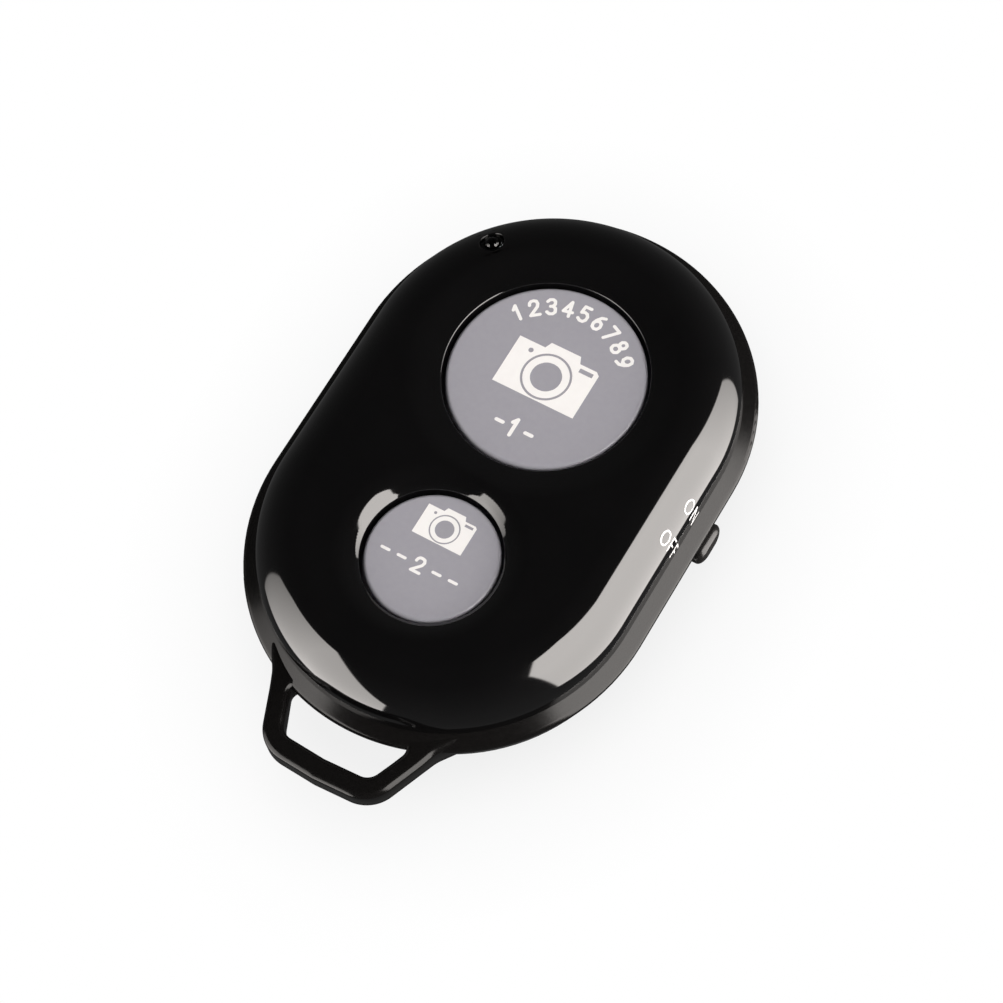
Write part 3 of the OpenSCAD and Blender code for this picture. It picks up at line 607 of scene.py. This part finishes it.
# Strokes of each character in a box of one by one
GLYPHS = {
    "1": [[(0.2, 0.75), (0.5, 1), (0.5, 0)]],
    "2": [[(0.08, 0.72), (0.12, 0.87), (0.27, 0.98), (0.5, 1), (0.74, 0.95), (0.85, 0.76), (0.76, 0.55),
           (0.05, 0), (0.9, 0)]],
    "3": [[(0.1, 0.86), (0.3, 0.99), (0.6, 1), (0.8, 0.88), (0.8, 0.67), (0.6, 0.54), (0.38, 0.53)],
          [(0.6, 0.53), (0.84, 0.4), (0.84, 0.14), (0.62, 0.01), (0.3, 0.01), (0.08, 0.14)]],
    "4": [[(0.66, 0), (0.66, 1), (0.06, 0.3), (0.92, 0.3)]],
    "5": [[(0.82, 1), (0.2, 1), (0.14, 0.55), (0.42, 0.63), (0.7, 0.58), (0.86, 0.4), (0.84, 0.17),
           (0.64, 0.01), (0.34, 0), (0.08, 0.12)]],
    "6": [[(0.74, 0.98), (0.4, 0.86), (0.16, 0.56), (0.1, 0.3), (0.22, 0.07), (0.48, 0), (0.75, 0.07),
           (0.87, 0.29), (0.76, 0.52), (0.5, 0.6), (0.22, 0.5), (0.1, 0.3)]],
    "7": [[(0.08, 1), (0.88, 1), (0.36, 0)]],
    "8": [[(0.5, 0.54), (0.24, 0.62), (0.17, 0.8), (0.3, 0.96), (0.5, 1), (0.7, 0.96), (0.83, 0.8),
           (0.76, 0.62), (0.5, 0.54), (0.2, 0.44), (0.1, 0.24), (0.24, 0.05), (0.5, 0), (0.76, 0.05),
           (0.9, 0.24), (0.8, 0.44), (0.5, 0.54)]],
    "9": [[(0.26, 0.02), (0.6, 0.14), (0.84, 0.44), (0.9, 0.7), (0.78, 0.93), (0.52, 1), (0.25, 0.93),
           (0.13, 0.71), (0.24, 0.48), (0.5, 0.4), (0.78, 0.5), (0.9, 0.7)]],
    "O": [[(0.5 + O_WIDE * math.cos(t), 0.5 + 0.5 * math.sin(t)) for t in O_TURNS]],
    "N": [[(0.1, 0), (0.1, 1), (0.9, 0), (0.9, 1)]],
    "F": [[(0.12, 0), (0.12, 1), (0.86, 1)], [(0.12, 0.52), (0.74, 0.52)]],
    "-": [[(0.1, 0.5), (0.9, 0.5)]],
}


def ribbon(path, half):
    """Outlines of a stroke with round ends: one box for each short piece and a disc at each bend."""
    loops = []
    for (ax, ay), (bx, by) in zip(path, path[1:]):
        pieces = max(1, int(math.hypot(bx - ax, by - ay) / STROKE_PIECE))
        for i in range(pieces):
            here, there = i / pieces, (i + 1) / pieces
            px, py = ax + (bx - ax) * here, ay + (by - ay) * here
            qx, qy = ax + (bx - ax) * there, ay + (by - ay) * there
            length = math.hypot(qx - px, qy - py)
            nx, ny = -(qy - py) / length * half, (qx - px) / length * half
            loops.append([(px + nx, py + ny), (px - nx, py - ny), (qx - nx, qy - ny), (qx + nx, qy + ny)])
    return loops + [circle(x, y, half, DOT_STEPS) for x, y in path]


def plate(loops, keep, points, faces):
    """Fills the plane where keep(point) holds, cut along the loops."""
    plan, edges = [], []
    for loop in loops:
        edges += ring_edges(len(plan), len(loop))
        plan += loop
    coords, tris, _ = triangulate(plan, edges)
    start = len(points)
    points += [tuple(c) for c in coords]
    faces += [[start + i for i in tri] for tri, middle in tris if keep(middle)]


def glyph(kind, left, foot, width, height, half, points, faces, bend=None):
    """Draws a character in a box, with strokes of a half width, and bends it where asked."""
    loops = []
    wide, high = width - 2 * half, height - 2 * half
    for stroke in GLYPHS[kind]:
        path = [(left + half + wide * u, foot + half + high * v) for u, v in stroke]
        loops += ribbon([bend(*p) for p in path] if bend else path, half)
    plate(loops, lambda p: any(inside(p, loop) for loop in loops), points, faces)


# The camera sign: body with a raised finder, flash window, a dot, and the lens as a gap, a ring and an eye
SIGN_BODY = [(-3.5, -2.1), (3.5, -2.1), (3.5, 1.9), (3.2, 2.15), (1.75, 2.15), (1.5, 2.72), (-1.05, 2.72),
             (-1.3, 2.15), (-3.5, 2.15)]
SIGN_FLASH = [(1.95, 1.5), (3.1, 1.5), (3.1, 1.85), (1.95, 1.85)]
SIGN_DOT = circle(-2.15, 1.45, 0.2, 20)
SIGN_GAP_R, SIGN_RING_R, SIGN_EYE_R, SIGN_SLACK = 1.98, 1.8, 1.22, 0.01


def camera_sign(k, cx, cy, points, faces):
    """A plain camera, scaled by k."""
    rings = [circle(0, 0, r) for r in (SIGN_GAP_R, SIGN_RING_R, SIGN_EYE_R)]
    drawn = [SIGN_BODY, SIGN_DOT, SIGN_FLASH] + rings
    body, dot, flash, *others = [[(cx + x * k, cy + y * k) for x, y in loop] for loop in drawn]

    def keep(p):
        d = math.hypot(p[0] - cx, p[1] - cy) / k
        in_ring = SIGN_EYE_R - SIGN_SLACK < d < SIGN_RING_R + SIGN_SLACK
        clear_of = not inside(p, dot) and not inside(p, flash)
        return inside(p, body) and clear_of and (in_ring or d > SIGN_GAP_R - SIGN_SLACK)

    plate([body, dot, flash] + others, keep, points, faces)


def printed(name, points, faces, lay, body):
    """Lays a drawing on a surface: lay(u, v) gives the point and its normal."""
    laid = [lay(*p) for p in points]
    sheet = mesh_object(name, [p for p, _ in laid], faces, "white_legend", [n for _, n in laid])
    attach(sheet, body)


def on_disc(cy):
    return lambda u, v: ((u, cy + v, DISC_Z + PRINT_LIFT), (0, 0, 1))


def on_shoulder(rise, along):
    """rise: length along the shell's section from the seam upwards; along: the way towards the light."""
    if rise < SHOULDER_Z - SEAM:
        return (TOP_R + PRINT_LIFT, along, SEAM + rise), (1, 0, 0)
    a = (rise - (SHOULDER_Z - SEAM)) / SHOULDER_R
    reach = SHOULDER_R + PRINT_LIFT
    spot = (SPINE_R + reach * math.cos(a), along, SHOULDER_Z + reach * math.sin(a))
    return spot, (math.cos(a), 0, math.sin(a))


# Numbers on an arc of the large button: radius, first and last direction, and each one's box and stroke
ARC_R, ARC_FIRST, ARC_LAST, ARC_MARKS = 6.0, 141, 40, "123456789"
ARC_W, ARC_H, ARC_HALF = 1.1, 1.5, 0.13
# Row under each camera sign: foot, height and half stroke, then each mark with its left end and width
LARGE_ROW = (-5.65, 1.7, 0.15, (("-", -1.75, 1.0), ("1", -0.62, 1.2), ("-", 0.75, 1.0)))
SMALL_ROW = (-1.7, 1.4, 0.12, (("-", -3.9, 1.0), ("-", -2.5, 1.0), ("-", 0.5, 1.0), ("-", 1.9, 1.0),
                               ("2", -1.05, 1.1)))
# Scale and middle of each camera sign
LARGE_SIGN, SMALL_SIGN = (1.0, 0, 0), (0.6, -0.3, 2.35)
# Words by the switch: start and widths down the shoulder, and place along it
WORDS = (("ON", 2.78, (1.2, 1.15), 3.3), ("OFF", 3.22, (1.15, 0.8, 0.8), 0.12))
WORD_H, WORD_HALF, LETTER_GAP, WORD_LOWEST = 1.3, 0.075, 0.12, 0.03


def draw_row(row, points, faces):
    foot, height, half, marks = row
    for kind, left, width in marks:
        glyph(kind, left, foot, width, height, half, points, faces)


def bend_at(a):
    """Bends a drawing round the arc of numbers at direction a."""
    def bend(x, y):
        reach = ARC_R + y
        return (reach * math.cos(a) + x * math.sin(a), reach * math.sin(a) - x * math.cos(a))
    return bend


def print_large():
    points, faces = [], []
    camera_sign(*LARGE_SIGN, points, faces)
    for k, kind in enumerate(ARC_MARKS):
        a = math.radians(ARC_FIRST + (ARC_LAST - ARC_FIRST) * k / (len(ARC_MARKS) - 1))
        glyph(kind, -ARC_W / 2, -ARC_H / 2, ARC_W, ARC_H, ARC_HALF, points, faces, bend_at(a))
    draw_row(LARGE_ROW, points, faces)
    printed("large_cap_print", points, faces, on_disc(LARGE[1]), "large_button")


def print_small():
    points, faces = [], []
    camera_sign(*SMALL_SIGN, points, faces)
    draw_row(SMALL_ROW, points, faces)
    printed("small_cap_print", points, faces, on_disc(SMALL[1]), "small_button")


def print_words():
    """Words that read outwards down the shoulder."""
    points, faces = [], []
    for word, start, widths, y in WORDS:
        for kind, width in zip(word, widths):
            glyph(kind, -start, y - WORD_H / 2, width, WORD_H, WORD_HALF, points, faces)
            start -= width + LETTER_GAP
    printed("switch_print", points, faces, lambda u, v: on_shoulder(max(-u, WORD_LOWEST), v), "housing")


print_large()
print_small()
print_words()


# Back shell with its loop
def rounded(corners, radii, steps=10):
    """Points of an outline whose inner corners are rounded, each with the steps of its round."""
    run = [np.array(corners[0], float)]
    for before, at, after, r in zip(corners, corners[1:], corners[2:], radii):
        at = np.array(at, float)
        back, on = (np.array(p, float) - at for p in (before, after))
        back, on = back / np.linalg.norm(back), on / np.linalg.norm(on)
        half = math.acos(np.clip(back @ on, -1, 1)) / 2
        mid = at + (back + on) / np.linalg.norm(back + on) * r / math.sin(half)
        first, last = at + back * r / math.tan(half) - mid, at + on * r / math.tan(half) - mid
        turn = math.pi - 2 * half
        for k in range(steps + 1):
            a = turn * k / steps
            run.append(mid + (first * math.sin(turn - a) + last * math.sin(a)) / math.sin(turn))
    run.append(np.array(corners[-1], float))
    return run


def filled(run, longest):
    """Adds points on the long straights of an outline."""
    out = [run[0]]
    for a, b in zip(run, run[1:]):
        pieces = max(1, math.ceil(np.linalg.norm(b - a) / longest))
        out += [a + (b - a) * k / pieces for k in range(1, pieces + 1)]
    return out


def way_out(run):
    """Unit normals on the right of a run of points."""
    ways = []
    for k in range(len(run)):
        d = run[min(k + 1, len(run) - 1)] - run[max(k - 1, 0)]
        ways.append(np.array([d[1], -d[0]]) / np.linalg.norm(d))
    return ways


def loop_rail(half_root, root_y, half_end, end, corner_r, fillet_r, anchor, bow):
    """One edge of the loop, from the middle of its end bar to the root: bar, corner, leg, fillet, root."""
    corners = [(0, end - bow), (half_end, end), (half_root, root_y), anchor]
    run = rounded(corners, [corner_r, fillet_r], BEND_STEPS)
    rail, at = [], 0
    for pieces in (BAR_PIECES, LEG_PIECES, ROOT_PIECES):
        a, b = run[at:at + 2]
        rail += [a + (b - a) * k / pieces for k in range(pieces)]
        rail += run[at + 1:at + 1 + BEND_STEPS]
        at += 1 + BEND_STEPS
    return rail


def add_sheet(grid, ways, closed, points, faces, corners):
    """Adds a grid of points as faces that look along the ways."""
    columns, base = len(grid[0]), len(points)
    for row in grid:
        points.extend(tuple(p) for p in row)
    for k in range(len(grid) - 1):
        for i in range(columns if closed else columns - 1):
            j = (i + 1) % columns
            quad = ((k, i), (k, j), (k + 1, j), (k + 1, i))
            spread = np.cross(np.subtract(grid[k][j], grid[k][i]), np.subtract(grid[k + 1][j], grid[k][i]))
            if spread @ np.array(ways[k][i]) < 0:
                quad = quad[::-1]
            faces.append([base + a * columns + b for a, b in quad])
            corners.extend(tuple(ways[a][b]) for a, b in quad)


def packed_shell():
    """The back shell as packed, without its loop: points, faces and the faces' corner normals."""
    source = frame["nodes"]["back_shell"].data
    spots = np.array([v.co[:] for v in source.vertices]) / MM
    wall_r = np.interp(spots[:, 2], (0, LIP_FOOT_Z, SEAM), (SIDE_FOOT_R, BODY_R + LIP_SHARP, TOP_R))
    away = np.hypot(spots[:, 0], np.minimum(spots[:, 1] + HALF_L, 0)) > wall_r + OFF_WALL
    away &= spots[:, 1] < -HALF_L
    faces, corners = [], []
    for poly in source.polygons:
        ids = list(poly.vertices)
        if poly.area >= SLIVER and not away[ids].any():
            faces.append(ids)
            corners += [tuple(source.corner_normals[i].vector) for i in poly.loop_indices]
    return [tuple(p) for p in spots], faces, corners


def strip_behind_loop():
    """The tray's side and lip, which run on behind the loop."""
    corners = [(SIDE_FOOT_R, 0), (BODY_R + LIP_SHARP, LIP_FOOT_Z), (TOP_R - STRIP_IN, SEAM + STRIP_UP)]
    section = [p for p in filled(rounded(corners, [LIP_EDGE_R]), STRIP_PIECE) if p[1] > STRIP_LOW]
    section_ways = way_out(section)
    lifted = [p + STRIP_LIFT * w for p, w in zip(section, section_ways)]
    grid, ways = [], []
    for a in np.radians(np.linspace(STRIP_FIRST, STRIP_LAST, STRIP_STEPS + 1)):
        way = np.array([math.cos(a), math.sin(a)])
        grid.append([(*(way * p[0] - (0, HALF_L)), p[1]) for p in lifted])
        ways.append([(*(way * w[0]), w[1]) for w in section_ways])
    return grid, ways


def loop_section(spot, plain, side, rise_share, first):
    """Half of the bar's section on one rail, from direction first in degrees, with its normals."""
    # The top climbs onto the lip where the loop grows out of it
    near = np.clip((RISE_FROM_R - math.hypot(spot[0], spot[1] + HALF_L)) / RISE_SPAN, 0, 1)
    top = LOOP_TOP + ROOT_RISE * rise_share * near * near * (3 - 2 * near)
    row, ways = [], []
    for k, a in enumerate(np.radians(np.linspace(first, first + 180, BAR_STEPS + 1))):
        upper = (k >= BAR_STEPS // 2) == (first < 0)
        out_by = abs(math.cos(a))
        p = spot - plain * (LOOP_EDGE_R * (1 - out_by))
        level = top - LOOP_EDGE_R if upper else LOOP_FOOT + LOOP_EDGE_R
        row.append((p[0] * side, p[1], level + LOOP_EDGE_R * math.sin(a)))
        ways.append((plain[0] * out_by * side, plain[1] * out_by, math.sin(a)))
    return row, ways


def swept_loop():
    """The loop: a rounded bar swept between its outer edge and its slot."""
    outer = loop_rail(LOOP_ROOT, LOOP_ROOT_Y, LOOP_END, -LOOP_FAR, LOOP_CORNER_R, LOOP_FILLET_R, LOOP_ANCHOR,
                      LOOP_BOW)
    inner = loop_rail(SLOT_ROOT, SLOT_ROOT_Y, SLOT_END, -(LOOP_FAR - LOOP_BAR), SLOT_CORNER_R, SLOT_FILLET_R,
                      SLOT_ANCHOR, LOOP_BOW * SLOT_BOW_SHARE)
    outer_ways, inner_ways = way_out(outer), [-w for w in way_out(inner)]
    stations = [(-1, k) for k in range(len(outer) - 1, 0, -1)] + [(1, k) for k in range(len(outer))]
    grid, ways = [], []
    for side, k in stations:
        out_row, out_row_ways = loop_section(outer[k], outer_ways[k], side, 1, -90)
        in_row, in_row_ways = loop_section(inner[k], inner_ways[k], side, SLOT_RISE_SHARE, 90)
        grid.append(out_row + in_row)
        ways.append(out_row_ways + in_row_ways)
    return grid, ways


def build_back_shell():
    points, faces, corners = packed_shell()
    add_sheet(*strip_behind_loop(), False, points, faces, corners)
    add_sheet(*swept_loop(), True, points, faces, corners)
    return mesh_object("back_shell_skin", points, faces, "satin_black", corners=corners)


back = build_back_shell()
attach(back, "housing")
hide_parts("back_shell")


# Knob of the slide switch
def build_knob():
    """Rounded capsule that stands out through the slot, down to its foot on the flange."""
    half, reach = KNOB_H / 2, BODY_R + KNOB_OUT
    straight = (KNOB_L - KNOB_H) / 2

    def around(i):
        a = 2 * math.pi * i / KNOB_STEPS
        return math.cos(a), math.sin(a)

    def spot(i, r, out):
        c, s = around(i)
        shift = 0 if abs(c) < NONE else math.copysign(straight, c)
        return (out, KNOB_Y + shift * min(1, r / half) + c * r, KNOB_Z + s * r)

    def turned(i, outwards, ahead):
        c, s = around(i)
        return (ahead, c * outwards, s * outwards)

    edge = arc(half - KNOB_ROUND, reach - KNOB_ROUND, KNOB_ROUND, 0, KNOB_TURN)
    face = [(half * KNOB_FACE_SHARE, reach - KNOB_FACE_DROP), (0, reach)]
    runs = [[(0, KNOB_X), (half, KNOB_X)], [(half, KNOB_X), (half, reach - KNOB_ROUND - HAIR)] + edge + face]
    return runs_mesh("knob_skin", runs, spot, turned, KNOB_STEPS, "knob_black")


knob = build_knob()
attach(knob, "power_knob")
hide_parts("power_knob")


# Light pipe: its clear dome stands in a ring that lies a little below the shoulder
def build_lens():
    ring_in = math.sqrt(DOME_R ** 2 - (RING_AT - DOME_AT) ** 2)
    ring_turn = math.degrees(math.asin((RING_AT - DOME_AT) / DOME_R))
    runs = [[(0, LIGHT_FOOT), (LIGHT_R, LIGHT_FOOT)], [(LIGHT_R, LIGHT_FOOT), (LIGHT_R, RING_AT)],
            [(LIGHT_R, RING_AT), (ring_in, RING_AT)], arc(0, DOME_AT, DOME_R, ring_turn, 90, DOME_STEPS)]
    return lathe("light_lens", runs, "clear_lens", LIGHT_ROOT, LIGHT_AXIS, LENS_STEPS)


lens = build_lens()
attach(lens, "housing")
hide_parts("light_pipe")


# Snap domes under the plungers
def build_snap(name, cy):
    middle, under = SNAP_TOP - SNAP_BEND, SNAP_BEND - SNAP_SHEET
    outer_turn, inner_turn = (math.degrees(math.asin((SNAP_FOOT - middle) / r)) for r in (SNAP_BEND, under))
    inner_rim = under * math.cos(math.radians(inner_turn))
    runs = [arc(0, middle, under, 90, inner_turn, DOME_STEPS),
            [(inner_rim, SNAP_FOOT), (SNAP_RIM, SNAP_FOOT)],
            arc(0, middle, SNAP_BEND, outer_turn, 90, DOME_STEPS)]
    return lathe(name, runs, "sheet_metal", (0, cy, 0), steps=SNAP_STEPS)


for size, (_, cy, _) in (("large", LARGE), ("small", SMALL)):
    snap = build_snap(size + "_snap_dome", cy)
    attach(snap, "housing")
    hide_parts(size + "_switch_dome")
    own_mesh(snap)

# Camera, fitted to the photograph: angles in degrees, lengths in millimetres, then pixels of the picture
CAMERA_EL, CAMERA_AZ, CAMERA_ROLL = (math.radians(d) for d in (64.799, 40.114, -10.794))
CAMERA_FAR, LOOK_AT_Z, SENSOR, NEAREST = 233.842, 0.77, 36, 0.01
PICTURE, FOCAL, CENTRE_X, CENTRE_Y = 1003, 3032.461, 507.022, 501.465


def build_camera():
    back = Vector((math.sin(CAMERA_AZ) * math.cos(CAMERA_EL), -math.cos(CAMERA_AZ) * math.cos(CAMERA_EL),
                   math.sin(CAMERA_EL)))
    level = Vector((math.cos(CAMERA_AZ), math.sin(CAMERA_AZ), 0))
    upright = back.cross(level)
    side = math.cos(CAMERA_ROLL) * level + math.sin(CAMERA_ROLL) * upright
    up = -math.sin(CAMERA_ROLL) * level + math.cos(CAMERA_ROLL) * upright
    camera = placed("camera", bpy.data.cameras.new("camera"))
    eye = (Vector((0, 0, LOOK_AT_Z)) + back * CAMERA_FAR) * MM
    camera.matrix_world = Matrix.Translation(eye) @ Matrix((side, up, back)).transposed().to_4x4()
    camera.data.sensor_width = SENSOR
    camera.data.lens = FOCAL / PICTURE * SENSOR
    camera.data.shift_x = (PICTURE / 2 - CENTRE_X) / PICTURE
    camera.data.shift_y = (CENTRE_Y - PICTURE / 2) / PICTURE
    camera.data.clip_start = NEAREST
    bpy.context.scene.camera = camera


build_camera()

# Floor: reach of its soft shadow in metres, the shadow's range, and the grey that lights the object
SHADOW_REACH, SHADOW_FROM, SHADOW_DARK, FLOOR_GREY = 0.012, 0.35, 0.86, 0.05
# Half its side and its drop below the object, in metres
FLOOR_HALF, FLOOR_DROP = 2, 0.0001


def by_ray(tree, kind, plain, asked):
    """A mix that shows the asked shader to rays of one kind and the plain one to the others."""
    path = add(tree, "ShaderNodeLightPath")
    mix = add(tree, "ShaderNodeMixShader")
    link(path.outputs[kind], mix.inputs[0])
    link(plain.outputs[0], mix.inputs[1])
    link(asked.outputs[0], mix.inputs[2])
    return mix


def build_floor():
    """White with a soft shadow to the camera, clear to reflections and dark to other light."""
    mat, tree, out = nodes_of("pale_floor")
    near = add(tree, "ShaderNodeAmbientOcclusion", {"Distance": SHADOW_REACH}, samples=16)
    shade = add(tree, "ShaderNodeMapRange", {"From Min": SHADOW_FROM, "To Min": SHADOW_DARK})
    glow = add(tree, "ShaderNodeEmission", {"Color": (1, 1, 1, 1)})
    skin = add(tree, "ShaderNodeBsdfDiffuse", {"Color": (*grey(FLOOR_GREY), 1)})
    through = add(tree, "ShaderNodeBsdfTransparent")
    link(near.outputs["AO"], shade.inputs["Value"])
    link(shade.outputs["Result"], glow.inputs["Strength"])
    unseen = by_ray(tree, "Is Glossy Ray", skin, through)
    link(by_ray(tree, "Is Camera Ray", unseen, glow).outputs[0], out.inputs["Surface"])
    mesh = bpy.data.meshes.new("floor")
    corners = [(x * FLOOR_HALF, y * FLOOR_HALF, -FLOOR_DROP) for x, y in ((-1, -1), (1, -1), (1, 1), (-1, 1))]
    mesh.from_pydata(corners, [], [(0, 1, 2, 3)])
    mesh.materials.append(mat)
    return placed("floor", mesh)


floor = build_floor()

# Light of the room: strength at a low and at a high level, by the height of the direction
ROOM_LOW_Z, ROOM_HIGH_Z, ROOM_LOW, ROOM_HIGH = -0.3, 0.85, 0.1, 0.02


def build_room():
    """White to the camera, and a dim room that darkens upwards to everything else."""
    world = bpy.data.worlds.new("studio")
    bpy.context.scene.world = world
    world.use_nodes = True
    tree = world.node_tree
    tree.nodes.clear()
    out = add(tree, "ShaderNodeOutputWorld")
    dim = add(tree, "ShaderNodeBackground")
    white = add(tree, "ShaderNodeBackground", {"Color": (1, 1, 1, 1)})
    place = add(tree, "ShaderNodeTexCoord")
    split = add(tree, "ShaderNodeSeparateXYZ")
    level = add(tree, "ShaderNodeMapRange", {
        "From Min": ROOM_LOW_Z, "From Max": ROOM_HIGH_Z, "To Min": ROOM_LOW, "To Max": ROOM_HIGH})
    link(place.outputs["Generated"], split.inputs[0])
    link(split.outputs["Z"], level.inputs["Value"])
    link(level.outputs["Result"], dim.inputs["Strength"])
    link(by_ray(tree, "Is Camera Ray", dim, white).outputs[0], out.inputs["Surface"])


build_room()

# Windows: distance and height of aim in metres, colour, and the blur of a cut's edge
WINDOW_FAR, WINDOW_AIM_Z, WARM, EDGE_BLUR = 0.6, 0.006, (1.0, 0.955, 0.92), 0.012
# Directions in degrees, and how bright each one is
SIDE_AZ, END_AZ, WINDOW_EL, SIDE_RADIANCE, END_RADIANCE = 14, -128, 12, 7.2, 5.0
# Box of each window, and the cuts that give it the outline of its reflection
SIDE_BOX, END_BOX = (-0.75, -1.42, 1.14, 1.22), (-0.76, -1.02, 0.81, 0.72)
SIDE_CUTS = ((-0.44, 1.2, -0.73, 0.62), (-0.73, 0.62, -0.71, -0.9), (-0.6, -0.79, 1.1, -1.39),
             (1.13, -1.42, 0.8, 0.13), (0.84, 0.09, -0.12, 1.21), (0, -2.8, 1, -2.8, 6.4),
             (0.9, 0, 0.9, 1, 1.4))
END_CUTS = ((-0.75, -0.85, 0.8, -1.0), (0.79, -1.0, 0.79, -0.34), (0.79, -0.34, 0.0, 0.7),
            (0.0, 0.7, -0.42, 0.53), (-0.42, 0.53, -0.57, 0.3), (-0.57, 0.3, -0.72, -0.72),
            (-0.45, 1, -0.45, 0, 0.9))


def cut_level(tree, place, box, cut):
    """Socket that is one on the left of a cut and fades to none across it."""
    low_u, low_v, high_u, high_v = box
    u0, v0, u1, v1, *fade = cut
    blur = fade[0] / 2 if fade else EDGE_BLUR
    length = math.hypot(u1 - u0, v1 - v0)
    across, along = -(v1 - v0) / length, (u1 - u0) / length
    # Parametric runs from 0 to 1 over the lamp
    slope = (across * (high_u - low_u), along * (high_v - low_v), 0)
    rest = across * (low_u - u0) + along * (low_v - v0)
    dot = add(tree, "ShaderNodeVectorMath", {1: slope}, operation="DOT_PRODUCT")
    edge = add(tree, "ShaderNodeMapRange", {"From Min": -rest - blur, "From Max": -rest + blur})
    link(place.outputs["Parametric"], dot.inputs[0])
    link(dot.outputs["Value"], edge.inputs["Value"])
    return edge.outputs["Result"]


def window(name, azimuth, box, cuts, radiance):
    """A soft box far out in one direction, with its outline trimmed by straight cuts.

    box and cuts are in the plane that faces the object, as tangents of the angle from its middle.
    A cut (u0, v0, u1, v1) keeps what lies on its left. A fifth number is the width over which it fades.
    """
    a = math.radians(azimuth)
    way = Vector(way_at(a, math.radians(WINDOW_EL)))
    right = Vector((-math.sin(a), math.cos(a), 0))
    upwards = way.cross(right)
    low_u, low_v, high_u, high_v = box
    width, height = (high_u - low_u) * WINDOW_FAR, (high_v - low_v) * WINDOW_FAR
    data = bpy.data.lights.new(name, "AREA")
    data.shape = "RECTANGLE"
    data.size, data.size_y = width, height
    data.energy = radiance * math.pi * width * height
    data.color = WARM
    data.use_nodes = True
    tree = data.node_tree
    tree.nodes.clear()
    out = add(tree, "ShaderNodeOutputLight")
    glow = add(tree, "ShaderNodeEmission")
    place = add(tree, "ShaderNodeNewGeometry")
    level, *others = [cut_level(tree, place, box, cut) for cut in cuts]
    for other in others:
        both = add(tree, "ShaderNodeMath", operation="MULTIPLY")
        link(level, both.inputs[0])
        link(other, both.inputs[1])
        level = both.outputs[0]
    link(level, glow.inputs["Strength"])
    link(glow.outputs[0], out.inputs["Surface"])
    lamp = placed(name, data)
    middle = Vector((0, 0, WINDOW_AIM_Z)) + way * WINDOW_FAR
    middle += right * ((low_u + high_u) / 2 * WINDOW_FAR) + upwards * ((low_v + high_v) / 2 * WINDOW_FAR)
    lamp.matrix_world = Matrix.Translation(middle) @ Matrix((right, upwards, way)).transposed().to_4x4()


window("side_window", SIDE_AZ, SIDE_BOX, SIDE_CUTS, SIDE_RADIANCE)
window("end_window", END_AZ, END_BOX, END_CUTS, END_RADIANCE)

scene = bpy.context.scene
scene.view_settings.view_transform = "Standard"
